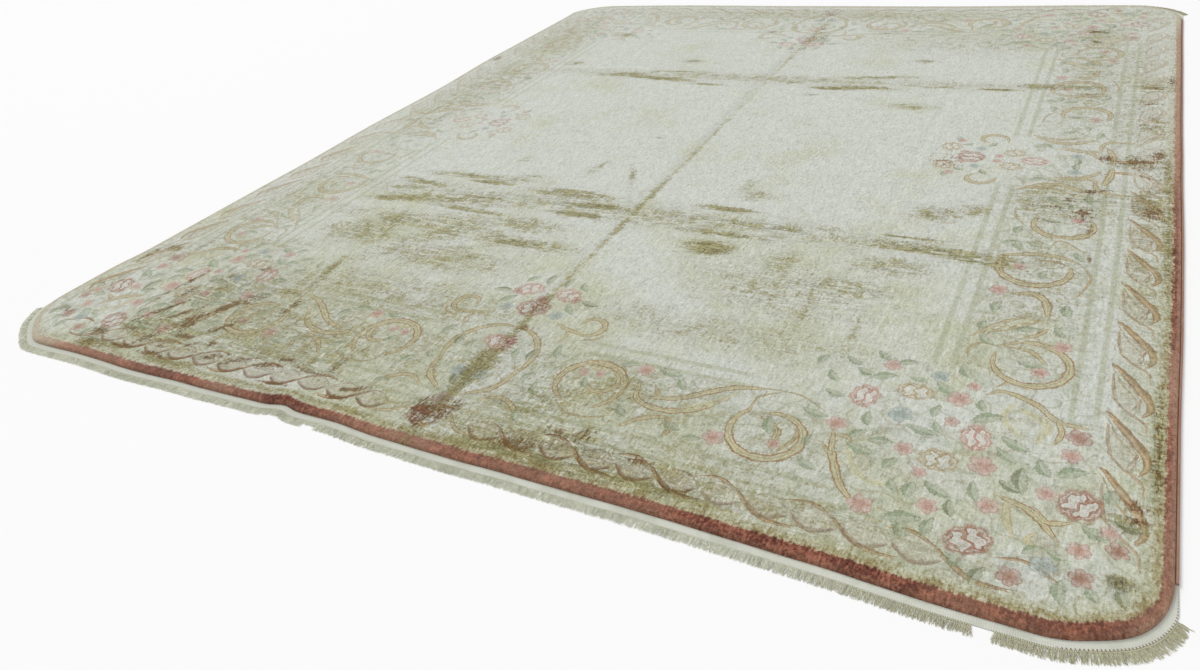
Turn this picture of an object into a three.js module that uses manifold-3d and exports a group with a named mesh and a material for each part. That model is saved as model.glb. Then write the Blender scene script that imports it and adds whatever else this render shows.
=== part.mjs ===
// A hand-knotted oushak rug lying flat. One cloth carries the cut pile and ends in a flat-woven web at
// each end, and follows the pile's rounded corners. A knotted fringe runs along each web, and an overcast
// cord runs along each long side. Millimetres, +Z up. The floor is z = 0, +X runs across the rug, and +Y
// runs along its length, away from the end that lies nearest.

import * as THREE from "three";
import { mergeVertices } from "three/addons/utils/BufferGeometryUtils.js";
import Module from "manifold-3d";

const wasm = await Module();
wasm.setup();

// The cloth.
const CLOTH_WIDTH = 3050; // over the side cords
const CLOTH_LENGTH = 3648; // over the two flat-woven ends, without the fringe
const PILE_HEIGHT = 11; // from the floor to the top of the pile
const WEB_THICKNESS = 2.2;
const END_WEB = 17; // how far the flat weave runs past the pile
const CORNER_RADIUS = 195; // of the pile
const CORD_DIAMETER = 6;
const CORD_END_SHARE = 0.6; // of its diameter that a cord narrows to where it is sewn off
const CORD_SIDES = 8;
const SEWING_GAP = 0.3; // what parts two pieces that lie against each other
const CORD_STOPS_SHORT = 0.7; // of where the pile's corner begins

// The fringe.
const HEADING_WIDTH = 3.6; // the row of knots that the strands hang from
const HEADING_HEIGHT = 3.2;
const HEADING_SHOULDER = 0.7; // of that height, where the row's sides begin to round over
const STRAND_LENGTH = 21;
const LOCKS_PER_END = 104;
const LOCK_SHARE = 0.72; // of the pitch that a lock fills at its root
const LOCK_ROOT_HEIGHT = 2.4;
const LOCK_TIP_HEIGHT = 1.4;
const LOCK_TIP_SHARE = 0.62; // of the root's width
const LOCK_OVERLAP = 1.6; // how deep a lock starts inside the heading
const LOCK_LEAN = 5; // the most that a tip strays along the edge
const LOCK_SHORTEST = 0.86; // of STRAND_LENGTH
const FRINGE_SEEDS = { near: 7, far: 19 };

// Steps of the mesh.
const ARC_STEPS = 12; // along a rounded corner
const END_STEP = 60; // along a straight end
const SIDE_STEP = 240; // along a straight side
const FIELD_STEP = 330; // between the rows of the top where it is plain
const LEAST_STEP = 30; // from an even place to one that a fold or a hump asks for
const FOLD_STATIONS = [-2, -1, -0.5, 0, 0.5, 1, 2]; // across a fold, in its half widths
const HUMP_STATIONS = [-1.4, -0.7, 0, 0.7, 1.4]; // across the highest hump, in its reaches
const PUCKER_STATIONS = [-2, -1.2, -0.6, 0, 0.6, 1.2, 2]; // across the pucker, in its half widths
const FIELD_MARGIN = 60; // how far the uncut top reaches past the cloth
const BELOW = 10; // how far a cutting solid reaches under the floor
const UNDER_PILE = 12; // how far the flat weave runs in under the pile
const MERGE_DISTANCE = 1e-4; // within which two points are one

// Where the straight stretches of the pile's outline end and the corners begin.
const PILE_HALF_WIDTH = CLOTH_WIDTH / 2 - CORD_DIAMETER - SEWING_GAP;
const PILE_HALF_LENGTH = CLOTH_LENGTH / 2 - END_WEB;
const ARC_X = PILE_HALF_WIDTH - CORNER_RADIUS;
const ARC_Y = PILE_HALF_LENGTH - CORNER_RADIUS;

// The section of the pile's edge, from the floor upwards: the cut ends roll over.
const EDGE_ROLL = [
  { inset: 0, height: -BELOW },
  { inset: 0, height: 4.4 },
  { inset: 1.4, height: 7.6 },
  { inset: 5, height: 10.2 },
  { inset: 14, height: 15 },
  { inset: 16, height: 30 },
];

// The marks of folding. Each trough lies at a place across its run, from one end of the run to the other,
// with a low lip on both sides. Runs along the length have their place on X, runs across it on Y.
const FOLDS = [
  { run: "length", at: 0, from: -1800, to: 1800, depth: 2.8, half: 26 },
  { run: "length", at: 762, from: -1500, to: 1600, depth: 1.3, half: 20 },
  { run: "length", at: -762, from: -1500, to: 1600, depth: 1.3, half: 20 },
  { run: "width", at: -640, from: -1180, to: 1450, depth: 2.2, half: 30 },
  { run: "width", at: 665, from: -1180, to: 1500, depth: 2.2, half: 30 },
  { run: "width", at: 5, from: -620, to: 620, depth: 1.1, half: 20 },
];
const FOLD_LIP = 0.32; // the lip's height as a share of the trough's depth
const LIP_PLACE = 1.5; // how far out the lip lies, in half widths of the trough
const LIP_HALF = 0.6; // and its own half width
const FOLD_END = 240; // over which a fold fades out at its ends
const FOLD_SWELL = 0.3; // how much a fold's depth comes and goes along it
const FOLD_SWELL_LENGTH = 430;

// Low humps where the cloth lies a little off the floor's plane.
const HUMPS = [
  { x: -379, y: -1765, acrossX: 56, acrossY: 110, height: 6.5 },
  { x: -1010, y: -1290, acrossX: 330, acrossY: 240, height: 1.5 },
  { x: -640, y: -890, acrossX: 260, acrossY: 170, height: 1.6 },
  { x: 430, y: -960, acrossX: 300, acrossY: 190, height: -1.2 },
  { x: 930, y: 180, acrossX: 260, acrossY: 330, height: 1.2 },
  { x: -450, y: 1080, acrossX: 380, acrossY: 260, height: 1.3 },
];

// How the edges stray from straight lines: out is how far the edge lies outside its line.
const NEAR_EDGE = [
  { at: -1525, out: 8 },
  { at: -1450, out: 8 },
  { at: -1335, out: 28 },
  { at: -1110, out: 21 },
  { at: -941, out: 23 },
  { at: -696, out: 13 },
  { at: -420, out: 3 },
  { at: -217, out: -5 },
  { at: -67, out: 2 },
  { at: 123, out: 2 },
  { at: 294, out: -2 },
  { at: 635, out: -6 },
  { at: 942, out: -3 },
  { at: 1180, out: 4 },
  { at: 1400, out: 3 },
  { at: 1525, out: 24 },
];
const FAR_EDGE = [
  { at: -1525, out: 0 },
  { at: -900, out: 14 },
  { at: -200, out: -3 },
  { at: 500, out: -12 },
  { at: 1200, out: 4 },
  { at: 1525, out: 0 },
];
const LEFT_EDGE = [
  { at: -1830, out: 12 },
  { at: -1450, out: 13 },
  { at: -1290, out: -2 },
  { at: -850, out: -4 },
  { at: -560, out: -8 },
  { at: -170, out: 0 },
  { at: 350, out: -12 },
  { at: 800, out: 4 },
  { at: 1100, out: -1 },
  { at: 1500, out: -6 },
  { at: 1830, out: -3 },
];
const RIGHT_EDGE = [
  { at: -1830, out: -1 },
  { at: -1250, out: -1 },
  { at: -850, out: 2 },
  { at: -500, out: 2 },
  { at: 0, out: -2 },
  { at: 500, out: -5 },
  { at: 900, out: -6 },
  { at: 1400, out: -8 },
  { at: 1830, out: -8 },
];
const EDGE_FADE = 600; // how far in from an edge its straying dies away

// One short pucker in the near edge, where the cloth is drawn in.
const PUCKER = { x: -379, half: 36, pull: 14, reach: 150 };

// The weave lies a little askew: its middle line is off the cloth's middle, more so at the near end.
const ASKEW_MIDDLE = 24;
const ASKEW_ENDS = 12; // added at the near end and taken off at the far one

// Where strands of the near fringe are missing or worn short: the share of their length that is left.
const WORN_STRANDS = [
  { from: 1232, to: 1268, left: 0 },
  { from: -282, to: -240, left: 0.6 },
];

// A repeatable stream of numbers from 0 to 1.
function numberStream(seed) {
  let state = seed;
  return () => {
    state = (state * 1664525 + 1013904223) % 4294967296;
    return state / 4294967296;
  };
}

const smooth = (t) => t * t * (3 - 2 * t);
const clamp01 = (t) => Math.min(1, Math.max(0, t));
const fade = (distance, reach) => 1 - smooth(clamp01(distance / reach));
const bell = (distance, half) => Math.exp(-((distance / half) ** 2));

// The value of a table's column out at a place, eased from row to row.
function strayAt(table, at) {
  const next = table.findIndex((row) => row.at >= at);
  if (next < 0) return table[table.length - 1].out;
  if (next === 0) return table[0].out;
  const [a, b] = [table[next - 1], table[next]];
  return a.out + (b.out - a.out) * smooth((at - a.at) / (b.at - a.at));
}

// Where a point of the straight, square cloth comes to lie.
function lie(x, y) {
  const nearGap = y + CLOTH_LENGTH / 2;
  const farGap = CLOTH_LENGTH / 2 - y;
  const leftGap = x + CLOTH_WIDTH / 2;
  const rightGap = CLOTH_WIDTH / 2 - x;
  const onCloth = THREE.MathUtils.clamp(x, -CLOTH_WIDTH / 2, CLOTH_WIDTH / 2);
  const middleShare = Math.cos((Math.PI / CLOTH_WIDTH) * onCloth);
  const askew = ASKEW_MIDDLE - (ASKEW_ENDS * y) / (CLOTH_LENGTH / 2);
  const movedX =
    x +
    askew * middleShare -
    strayAt(LEFT_EDGE, y) * fade(leftGap, EDGE_FADE) +
    strayAt(RIGHT_EDGE, y) * fade(rightGap, EDGE_FADE);
  const movedY =
    y -
    strayAt(NEAR_EDGE, x) * fade(nearGap, EDGE_FADE) +
    strayAt(FAR_EDGE, x) * fade(farGap, EDGE_FADE) +
    PUCKER.pull * bell(x - PUCKER.x, PUCKER.half) * fade(nearGap, PUCKER.reach);
  return [movedX, movedY];
}

// The depth of one fold's trough, less its lips, at a point of the cloth.
function foldDepth(fold, x, y) {
  const [across, along] = fold.run === "length" ? [x, y] : [y, x];
  const off = Math.abs(across - fold.at) / fold.half;
  const trough = off < 1 ? 0.5 + 0.5 * Math.cos(Math.PI * off) : 0;
  const lip = FOLD_LIP * bell(off - LIP_PLACE, LIP_HALF);
  const begins = smooth(clamp01((along - fold.from) / FOLD_END));
  const ends = smooth(clamp01((fold.to - along) / FOLD_END));
  const swell = 1 + FOLD_SWELL * Math.sin(along / FOLD_SWELL_LENGTH + fold.at);
  return fold.depth * begins * ends * swell * (trough - lip);
}

// The height of one hump at a point of the cloth.
function humpHeight(hump, x, y) {
  return hump.height * bell((x - hump.x) / hump.acrossX, 1) * bell((y - hump.y) / hump.acrossY, 1);
}

// The height of the pile's top at a point of the cloth.
function pileTop(x, y) {
  const folds = FOLDS.reduce((sum, fold) => sum + foldDepth(fold, x, y), 0);
  const humps = HUMPS.reduce((sum, hump) => sum + humpHeight(hump, x, y), 0);
  return PILE_HEIGHT - folds + humps;
}

// The places that a bend of the cloth asks for: its stations times its width, about where it lies.
const placesOfBend = (at, width, stations) => stations.map((station) => at + station * width);

// Places from one end to the other, even but for the ones asked for.
function placesAlong(half, step, asked) {
  const steps = Math.round((2 * half) / step);
  const even = Array.from({ length: steps + 1 }, (_, i) => -half + (2 * half * i) / steps);
  const inside = asked.filter((place) => Math.abs(place) < half);
  const kept = even.filter((place) => inside.every((other) => Math.abs(place - other) > LEAST_STEP));
  return [...new Set([-half, half, ...kept, ...inside])].sort((a, b) => a - b);
}

function geometryOf(points, faces) {
  const geometry = new THREE.BufferGeometry();
  geometry.setAttribute("position", new THREE.Float32BufferAttribute(points.flat(), 3));
  geometry.setIndex(faces.flat());
  return geometry;
}

const laid = ({ x, y }, z) => [...lie(x, y), z];
const planOf = ([x, y]) => [x, y];

// The triangles that fill a ring: fillPlan() for an outline of any shape seen from above, and fillConvex()
// for a section with no hollow in it.
function fillPlan(ring) {
  const plan = ring.map((p) => new THREE.Vector2(...planOf(p)));
  return THREE.ShapeUtils.triangulateShape(plan, []);
}
const fillConvex = (ring) => ring.slice(2).map((_, i) => [0, i + 1, i + 2]);

// A closed mesh through rings of equal count, capped at both ends. Each ring runs anticlockwise seen from
// the last one.
function loft(rings, fill) {
  const count = rings[0].length;
  const faces = [];
  for (let r = 0; r + 1 < rings.length; r++)
    for (let i = 0; i < count; i++) {
      const j = (i + 1) % count;
      const [a, b, c, d] = [r * count + i, r * count + j, (r + 1) * count + j, (r + 1) * count + i];
      faces.push([a, b, c], [a, c, d]);
    }
  const top = (rings.length - 1) * count;
  fill(rings[0]).forEach(([a, b, c]) => faces.push([a, c, b]));
  fill(rings[rings.length - 1]).forEach(([a, b, c]) => faces.push([top + a, top + b, top + c]));
  return geometryOf(rings.flat(), faces);
}

function solidOf(geometry) {
  geometry.deleteAttribute("normal");
  geometry.deleteAttribute("uv");
  const merged = mergeVertices(geometry, MERGE_DISTANCE);
  return new wasm.Manifold(
    new wasm.Mesh({
      numProp: 3,
      vertProperties: merged.attributes.position.array,
      triVerts: new Uint32Array(merged.index.array),
    }),
  );
}

function geometryOfSolid(solid) {
  const mesh = solid.getMesh();
  const geometry = new THREE.BufferGeometry();
  geometry.setAttribute("position", new THREE.BufferAttribute(new Float32Array(mesh.vertProperties), 3));
  geometry.setIndex(new THREE.BufferAttribute(new Uint32Array(mesh.triVerts), 1));
  return geometry;
}

// The straight stretches: an end's, with closer places at the pucker, and a side's, with the places where its
// cord begins to narrow.
const endPlaces = placesAlong(ARC_X, END_STEP, placesOfBend(PUCKER.x, PUCKER.half, PUCKER_STATIONS));
const cordNarrows = ARC_Y - CORD_DIAMETER;
const sidePlaces = placesAlong(ARC_Y, SIDE_STEP, [-cordNarrows, cordNarrows]);

// Points at a distance outside the pile's near edge, from the left side line to the right one. Past the
// side line of the cloth the corner's arc is cut off, unless the distance lies inside the pile.
function endPath(outside) {
  const radius = CORNER_RADIUS + outside;
  const reach = CLOTH_WIDTH / 2 - ARC_X;
  const turn = radius > reach ? Math.asin(reach / radius) : Math.PI / 2;
  const arc = (side) =>
    Array.from({ length: ARC_STEPS }, (_, i) => {
      const angle = turn * (1 - i / ARC_STEPS);
      return {
        x: side * (ARC_X + radius * Math.sin(angle)),
        y: -ARC_Y - radius * Math.cos(angle),
      };
    });
  return [...arc(-1), ...endPlaces.map((x) => ({ x, y: -ARC_Y - radius })), ...arc(1).reverse()];
}

// The pile's whole outline, anticlockwise from its near left corner, moved in by an inset.
function pileOutline(inset) {
  const near = endPath(-inset);
  const far = near.map(({ x, y }) => ({ x: -x, y: -y }));
  const halfWidth = PILE_HALF_WIDTH - inset;
  const right = sidePlaces.slice(1, -1).map((y) => ({ x: halfWidth, y }));
  const left = right.map(({ x, y }) => ({ x: -x, y: -y }));
  return [...near, ...right, ...far, ...left];
}

// The pile's outline with its edge rolled over, open above and below the pile's own height.
function pileRim() {
  const rings = EDGE_ROLL.map(({ inset, height }) => pileOutline(inset).map((p) => laid(p, height)));
  return solidOf(loft(rings, fillPlan));
}

// The flat weave past one end of the pile. end is -1 for the near end and 1 for the far one.
function endWeb(end) {
  const sideOfWeb = { x: CLOTH_WIDTH / 2, y: -ARC_Y };
  const band = [...endPath(END_WEB), sideOfWeb, ...endPath(-UNDER_PILE).reverse()];
  const outline = end < 0 ? band : band.map(({ x, y }) => ({ x: -x, y: -y }));
  const rings = [-BELOW, WEB_THICKNESS].map((z) => outline.map((p) => laid(p, z)));
  return solidOf(loft(rings, fillPlan));
}

// A slab over the whole cloth with the pile's uneven top and a flat underside.
function pileSlab() {
  const foldPlaces = (run) =>
    FOLDS.filter((fold) => fold.run === run).flatMap(({ at, half }) => placesOfBend(at, half, FOLD_STATIONS));
  const [highest] = HUMPS;
  const acrossHump = placesOfBend(highest.x, highest.acrossX, HUMP_STATIONS);
  const alongHump = placesOfBend(highest.y, highest.acrossY, HUMP_STATIONS);
  const halfX = CLOTH_WIDTH / 2 + FIELD_MARGIN;
  const halfY = CLOTH_LENGTH / 2 + FIELD_MARGIN;
  const xs = placesAlong(halfX, FIELD_STEP, [...foldPlaces("length"), ...acrossHump]);
  const ys = placesAlong(halfY, FIELD_STEP, [...foldPlaces("width"), ...alongHump]);
  const points = ys.flatMap((y) => xs.map((x) => [...lie(x, y), pileTop(x, y)]));
  const at = (row, column) => row * xs.length + column;
  const faces = [];
  for (let row = 0; row + 1 < ys.length; row++)
    for (let column = 0; column + 1 < xs.length; column++) {
      const [a, b] = [at(row, column), at(row, column + 1)];
      const [c, d] = [at(row + 1, column + 1), at(row + 1, column)];
      faces.push([a, b, c], [a, c, d]);
    }
  const rim = [
    ...xs.map((_, column) => at(0, column)),
    ...ys.slice(1).map((_, row) => at(row + 1, xs.length - 1)),
    ...xs.slice(1).map((_, column) => at(ys.length - 1, xs.length - 2 - column)),
    ...ys.slice(1, -1).map((_, row) => at(ys.length - 2 - row, 0)),
  ];
  const firstBelow = points.length;
  rim.forEach((index) => points.push([points[index][0], points[index][1], 0]));
  rim.forEach((index, i) => {
    const j = (i + 1) % rim.length;
    faces.push([index, firstBelow + i, firstBelow + j], [index, firstBelow + j, rim[j]]);
  });
  const floorLoop = rim.map((_, i) => new THREE.Vector2(...planOf(points[firstBelow + i])));
  THREE.ShapeUtils.triangulateShape(floorLoop, []).forEach(([a, b, c]) =>
    faces.push([firstBelow + a, firstBelow + c, firstBelow + b]),
  );
  return solidOf(geometryOf(points, faces));
}

// The one cloth: pile and flat-woven ends, on a flat underside.
function rugCloth() {
  const outline = pileRim().add(endWeb(-1)).add(endWeb(1));
  return geometryOfSolid(pileSlab().intersect(outline));
}

// An overcast cord along one side, from corner to corner. It narrows at its two ends, where it is sewn off.
function sideCord(side) {
  const flat = CORD_DIAMETER / 2;
  const radius = flat / Math.cos(Math.PI / CORD_SIDES);
  const middle = CLOTH_WIDTH / 2 - flat;
  const ends = ARC_Y - CORD_STOPS_SHORT;
  const places = [-ends, ...sidePlaces.slice(1, -1), ends];
  const rings = places.map((y) => {
    const size = Math.abs(y) === ends ? CORD_END_SHARE : 1;
    return Array.from({ length: CORD_SIDES }, (_, i) => {
      const angle = (Math.PI / CORD_SIDES) * (2 * i + 1);
      const x = side * middle - size * radius * Math.cos(angle);
      return [...lie(x, y), size * (flat + radius * Math.sin(angle))];
    });
  });
  return loft(rings, fillConvex);
}

// The places of a fringe's locks along the near end: a point, the way out of the edge and the way along it.
function lockPlaces() {
  const radius = CORNER_RADIUS + END_WEB + HEADING_WIDTH;
  const turn = Math.asin((CLOTH_WIDTH / 2 - ARC_X) / radius);
  const arcLength = radius * turn;
  const whole = 2 * ARC_X + 2 * arcLength;
  const pitch = whole / LOCKS_PER_END;
  return Array.from({ length: LOCKS_PER_END }, (_, i) => {
    const along = (i + 0.5) * pitch - whole / 2;
    const pastStraight = Math.max(0, Math.abs(along) - ARC_X);
    const angle = (Math.sign(along) * pastStraight) / radius;
    const x = THREE.MathUtils.clamp(along, -ARC_X, ARC_X);
    return { x, angle, pitch };
  });
}

// One lock of strands: three-sided, flat on the floor, wide at the root and thinner at the tip.
function fringeLock({ x, angle, pitch }, lean, length) {
  const root = END_WEB + SEWING_GAP + HEADING_WIDTH - LOCK_OVERLAP;
  const rootHalf = (pitch * LOCK_SHARE) / 2;
  const point = (outside, aside, z) => {
    const radius = CORNER_RADIUS + outside;
    const place = {
      x: x + radius * Math.sin(angle) + aside * Math.cos(angle),
      y: -ARC_Y - radius * Math.cos(angle) + aside * Math.sin(angle),
    };
    return { place, z };
  };
  const ring = (outside, shift, half, height) => [
    point(outside, shift - half, 0),
    point(outside, shift + half, 0),
    point(outside, shift, height),
  ];
  return [
    ring(root, 0, rootHalf, LOCK_ROOT_HEIGHT),
    ring(root + LOCK_OVERLAP + length, lean, rootHalf * LOCK_TIP_SHARE, LOCK_TIP_HEIGHT),
  ];
}

// The share of its length that a lock of the near fringe still has. The corners are whole.
function leftOfLock({ x, angle }) {
  const worn = WORN_STRANDS.find(({ from, to }) => angle === 0 && x > from && x < to);
  return worn ? worn.left : 1;
}

// The heading, a narrow row of knots parted from the web, with its locks.
function fringe(end, seed) {
  const draw = numberStream(seed);
  const turned = (p) => (end < 0 ? p : { x: -p.x, y: -p.y });
  const inner = END_WEB + SEWING_GAP;
  const shoulder = HEADING_HEIGHT * HEADING_SHOULDER;
  const headingSection = [
    { outside: inner, height: 0 },
    { outside: inner, height: shoulder },
    { outside: inner + HEADING_WIDTH / 2, height: HEADING_HEIGHT },
    { outside: inner + HEADING_WIDTH, height: shoulder },
    { outside: inner + HEADING_WIDTH, height: 0 },
  ];
  const paths = headingSection.map(({ outside }) => endPath(outside));
  const rings = paths[0].map((_, i) =>
    headingSection.map(({ height }, k) => laid(turned(paths[k][i]), height)),
  );
  const heading = solidOf(loft(rings, fillConvex));
  const left = (spot) => (end < 0 ? leftOfLock(spot) : 1);
  const locks = lockPlaces()
    .filter((spot) => left(spot) > 0)
    .map((spot) => {
      const lean = LOCK_LEAN * (2 * draw() - 1);
      const length = STRAND_LENGTH * left(spot) * (LOCK_SHORTEST + (1 - LOCK_SHORTEST) * draw());
      const lockRings = fringeLock(spot, lean, length);
      const lockPoints = lockRings.map((ring) => ring.map(({ place, z }) => laid(turned(place), z)));
      return solidOf(loft(lockPoints, fillConvex));
    });
  return geometryOfSolid(wasm.Manifold.union([heading, ...locks]));
}

const ivoryPile = new THREE.MeshStandardMaterial({ color: "#c4c5b2", roughness: 0.85, metalness: 0 });
const warpYarn = new THREE.MeshStandardMaterial({ color: "#bcbda3", roughness: 0.9, metalness: 0 });
const roseYarn = new THREE.MeshStandardMaterial({ color: "#b08374", roughness: 0.88, metalness: 0 });

function piece(name, geometry, material) {
  const mesh = new THREE.Mesh(geometry, material);
  mesh.name = name;
  return mesh;
}

const rug = new THREE.Group();
rug.add(
  piece("rug_cloth", rugCloth(), ivoryPile),
  piece("fringe_near", fringe(-1, FRINGE_SEEDS.near), warpYarn),
  piece("fringe_far", fringe(1, FRINGE_SEEDS.far), warpYarn),
  piece("side_cord_left", sideCord(-1), roseYarn),
  piece("side_cord_right", sideCord(1), roseYarn),
);

// The origin is the middle of all that lies on the floor.
const middle = new THREE.Box3().setFromObject(rug).getCenter(new THREE.Vector3());
rug.position.set(-middle.x, -middle.y, 0);

export default rug;
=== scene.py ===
"""A faded oushak rug on a pale floor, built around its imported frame.

The pile is one slab whose top carries the design: every cell of its mesh knows which motif covers it, and the
material draws petals, leaves and scrolls from the motif's own coordinates. The flat-woven ends, the knotted
fringe and the overcast sides are pieces of their own. Tables and outlines are in millimetres on the straight,
square cloth; lie() gives the place where a point of it comes to lie.
"""

import math

import bmesh
import bpy
import numpy as np
from mathutils import Euler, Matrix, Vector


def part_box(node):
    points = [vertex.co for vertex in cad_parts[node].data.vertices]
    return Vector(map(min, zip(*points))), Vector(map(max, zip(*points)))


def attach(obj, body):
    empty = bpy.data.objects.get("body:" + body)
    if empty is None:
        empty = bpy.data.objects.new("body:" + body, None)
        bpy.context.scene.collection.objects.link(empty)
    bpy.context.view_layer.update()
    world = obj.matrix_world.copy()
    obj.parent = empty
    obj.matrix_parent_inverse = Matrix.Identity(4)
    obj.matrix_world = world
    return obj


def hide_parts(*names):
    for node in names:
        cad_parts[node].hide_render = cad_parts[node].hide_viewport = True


bl_info = {
    "name": "Oushak rug",
    "version": (1, 0, 0),
    "blender": (4, 5, 0),
    "location": "3D View > Sidebar > Rug",
    "description": "Builds an old pile rug with its border, fringe and wear",
    "category": "Add Mesh",
}

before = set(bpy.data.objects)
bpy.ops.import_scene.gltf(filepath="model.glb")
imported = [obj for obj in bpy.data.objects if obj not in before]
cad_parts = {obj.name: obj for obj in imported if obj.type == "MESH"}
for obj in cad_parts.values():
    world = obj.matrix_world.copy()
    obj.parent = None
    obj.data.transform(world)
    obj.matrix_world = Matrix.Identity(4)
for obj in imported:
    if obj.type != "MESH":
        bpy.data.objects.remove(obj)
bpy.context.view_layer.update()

MM = 0.001
BODY = "root"


def shade(red, green, blue):
    """A colour that is given as it shows on a screen, from 0 to 255, as light."""
    parts = [part / 255 for part in (red, green, blue)]
    return tuple(p / 12.92 if p <= 0.04045 else ((p + 0.055) / 1.055) ** 2.4 for p in parts)


# The construction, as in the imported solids.
FOLDS = [
    {"run": "length", "at": 0, "from": -1800, "to": 1800, "depth": 2.8, "half": 26},
    {"run": "length", "at": 762, "from": -1500, "to": 1600, "depth": 1.3, "half": 20},
    {"run": "length", "at": -762, "from": -1500, "to": 1600, "depth": 1.3, "half": 20},
    {"run": "width", "at": -640, "from": -1180, "to": 1450, "depth": 2.2, "half": 30},
    {"run": "width", "at": 665, "from": -1180, "to": 1500, "depth": 2.2, "half": 30},
    {"run": "width", "at": 5, "from": -620, "to": 620, "depth": 1.1, "half": 20},
]
FOLD_LIP = 0.32
FOLD_LIP_AT = 1.5
FOLD_LIP_HALF = 0.6
FOLD_END = 240
FOLD_SWELL = 0.3
FOLD_SWELL_LENGTH = 430

HUMP_COLUMNS = ("x", "y", "across_x", "across_y", "height")
HUMPS = [
    (-379, -1765, 56, 110, 6.5),
    (-1010, -1290, 330, 240, 1.5),
    (-640, -890, 260, 170, 1.6),
    (430, -960, 300, 190, -1.2),
    (930, 180, 260, 330, 1.2),
    (-450, 1080, 380, 260, 1.3),
]

# How far each edge strays outwards, by the place along it.
STRAY = {
    "near": [
        (-1525, 8), (-1450, 8), (-1335, 28), (-1110, 21), (-941, 23), (-696, 13), (-420, 3), (-217, -5),
        (-67, 2), (123, 2), (294, -2), (635, -6), (942, -3), (1180, 4), (1400, 3), (1525, 24),
    ],
    "far": [(-1525, 0), (-900, 14), (-200, -3), (500, -12), (1200, 4), (1525, 0)],
    "left": [
        (-1830, 12), (-1450, 13), (-1290, -2), (-850, -4), (-560, -8), (-170, 0), (350, -12), (800, 4),
        (1100, -1), (1500, -6), (1830, -3),
    ],
    "right": [
        (-1830, -1), (-1250, -1), (-850, 2), (-500, 2), (0, -2), (500, -5), (900, -6), (1400, -8),
        (1830, -8),
    ],
}
EDGE_FADE = 600
PUCKER = {"x": -379, "half": 36, "pull": 14, "reach": 150}
SHIFT_STEP = 8
SHIFT_SAMPLES = 60
ASKEW_MIDDLE = 24
ASKEW_ENDS = 12
EDGE_ROLL = {"inset": (0, 1.4, 5, 14), "height": (4.4, 7.6, 10.2, 15)}

# The design. Places are measured from the middle of the rug towards its right side and its near end, and are
# mirrored into the other three quarters.
# Roses: x, y, half width, half height, turn and dye.
ROSES = [
    (925, 1318, 34, 43, 8, "rose"),
    (1022, 1270, 43, 30, 0, "tan"),
    (1166, 1380, 33, 43, -8, "rose"),
    (1108, 1470, 42, 34, 0, "tan"),
    (1366, 1505, 42, 44, 35, "brick"),
    (1196, 1655, 48, 38, -35, "brick"),
    (0, 1395, 48, 34, 0, "rose"),
    (0, 1228, 54, 42, 0, "brick"),
    (62, 1143, 44, 34, 18, "rose"),
    (0, 1712, 54, 36, 0, "umber"),
    (856, 74, 36, 36, 20, "tan"),
    (928, 0, 46, 46, 90, "brick"),
    (1118, 0, 34, 42, 90, "rose"),
    (1054, 52, 36, 30, 30, "tan"),
]

# Blossoms: x, y, breadth, turn and dye.
BLOSSOMS = [
    (1114, 1266, 56, 10, "rose"),
    (1136, 1214, 34, 40, "rose"),
    (1190, 1457, 60, 0, "rose"),
    (1040, 1458, 44, 20, "rose"),
    (1350, 1316, 56, 25, "brick"),
    (1341, 1374, 46, 5, "rose"),
    (1308, 1494, 42, 50, "rose"),
    (1216, 1560, 46, 30, "rose"),
    (1418, 1556, 38, 0, "rose"),
    (1432, 1592, 44, 30, "brick"),
    (1374, 1615, 44, 15, "rose"),
    (1381, 1676, 46, 45, "brick"),
    (1274, 1713, 48, 20, "brick"),
    (1114, 1599, 44, 12, "rose"),
    (998, 1640, 56, 33, "rose"),
    (1082, 1516, 34, 8, "rose"),
    (893, 1428, 50, 22, "rose"),
    (1112, 1346, 36, 60, "rose"),
    (1437, 1664, 40, 5, "moss"),
    (1010, 1356, 56, 18, "blue"),
    (1322, 1670, 50, 0, "blue"),
    (1062, 1200, 46, 30, "blue"),
    (955, 1190, 44, 12, "rose"),
    (420, 1388, 50, 0, "rose"),
    (662, 1560, 54, 20, "rose"),
    (788, 1536, 34, 10, "rose"),
    (1290, 1012, 46, 30, "rose"),
    (1256, 1122, 44, 5, "rose"),
    (1126, 800, 52, 15, "rose"),
    (1156, 672, 40, 30, "rose"),
    (1272, 382, 44, 0, "rose"),
    (280, 1442, 34, 30, "rose"),
    (320, 1436, 30, 0, "rose"),
    (0, 1645, 62, 36, "umber"),
    (92, 1160, 40, 10, "brick"),
    (80, 1244, 46, 20, "blue"),
    (34, 1534, 46, 12, "blue"),
    (0, 1180, 44, 12, "brick"),
    (950, 70, 40, 10, "blue"),
    (880, 128, 34, 40, "rose"),
    (1010, 20, 34, 0, "rose"),
    (1236, 60, 44, 0, "blue"),
    (905, 36, 32, 0, "rose"),
]

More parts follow.
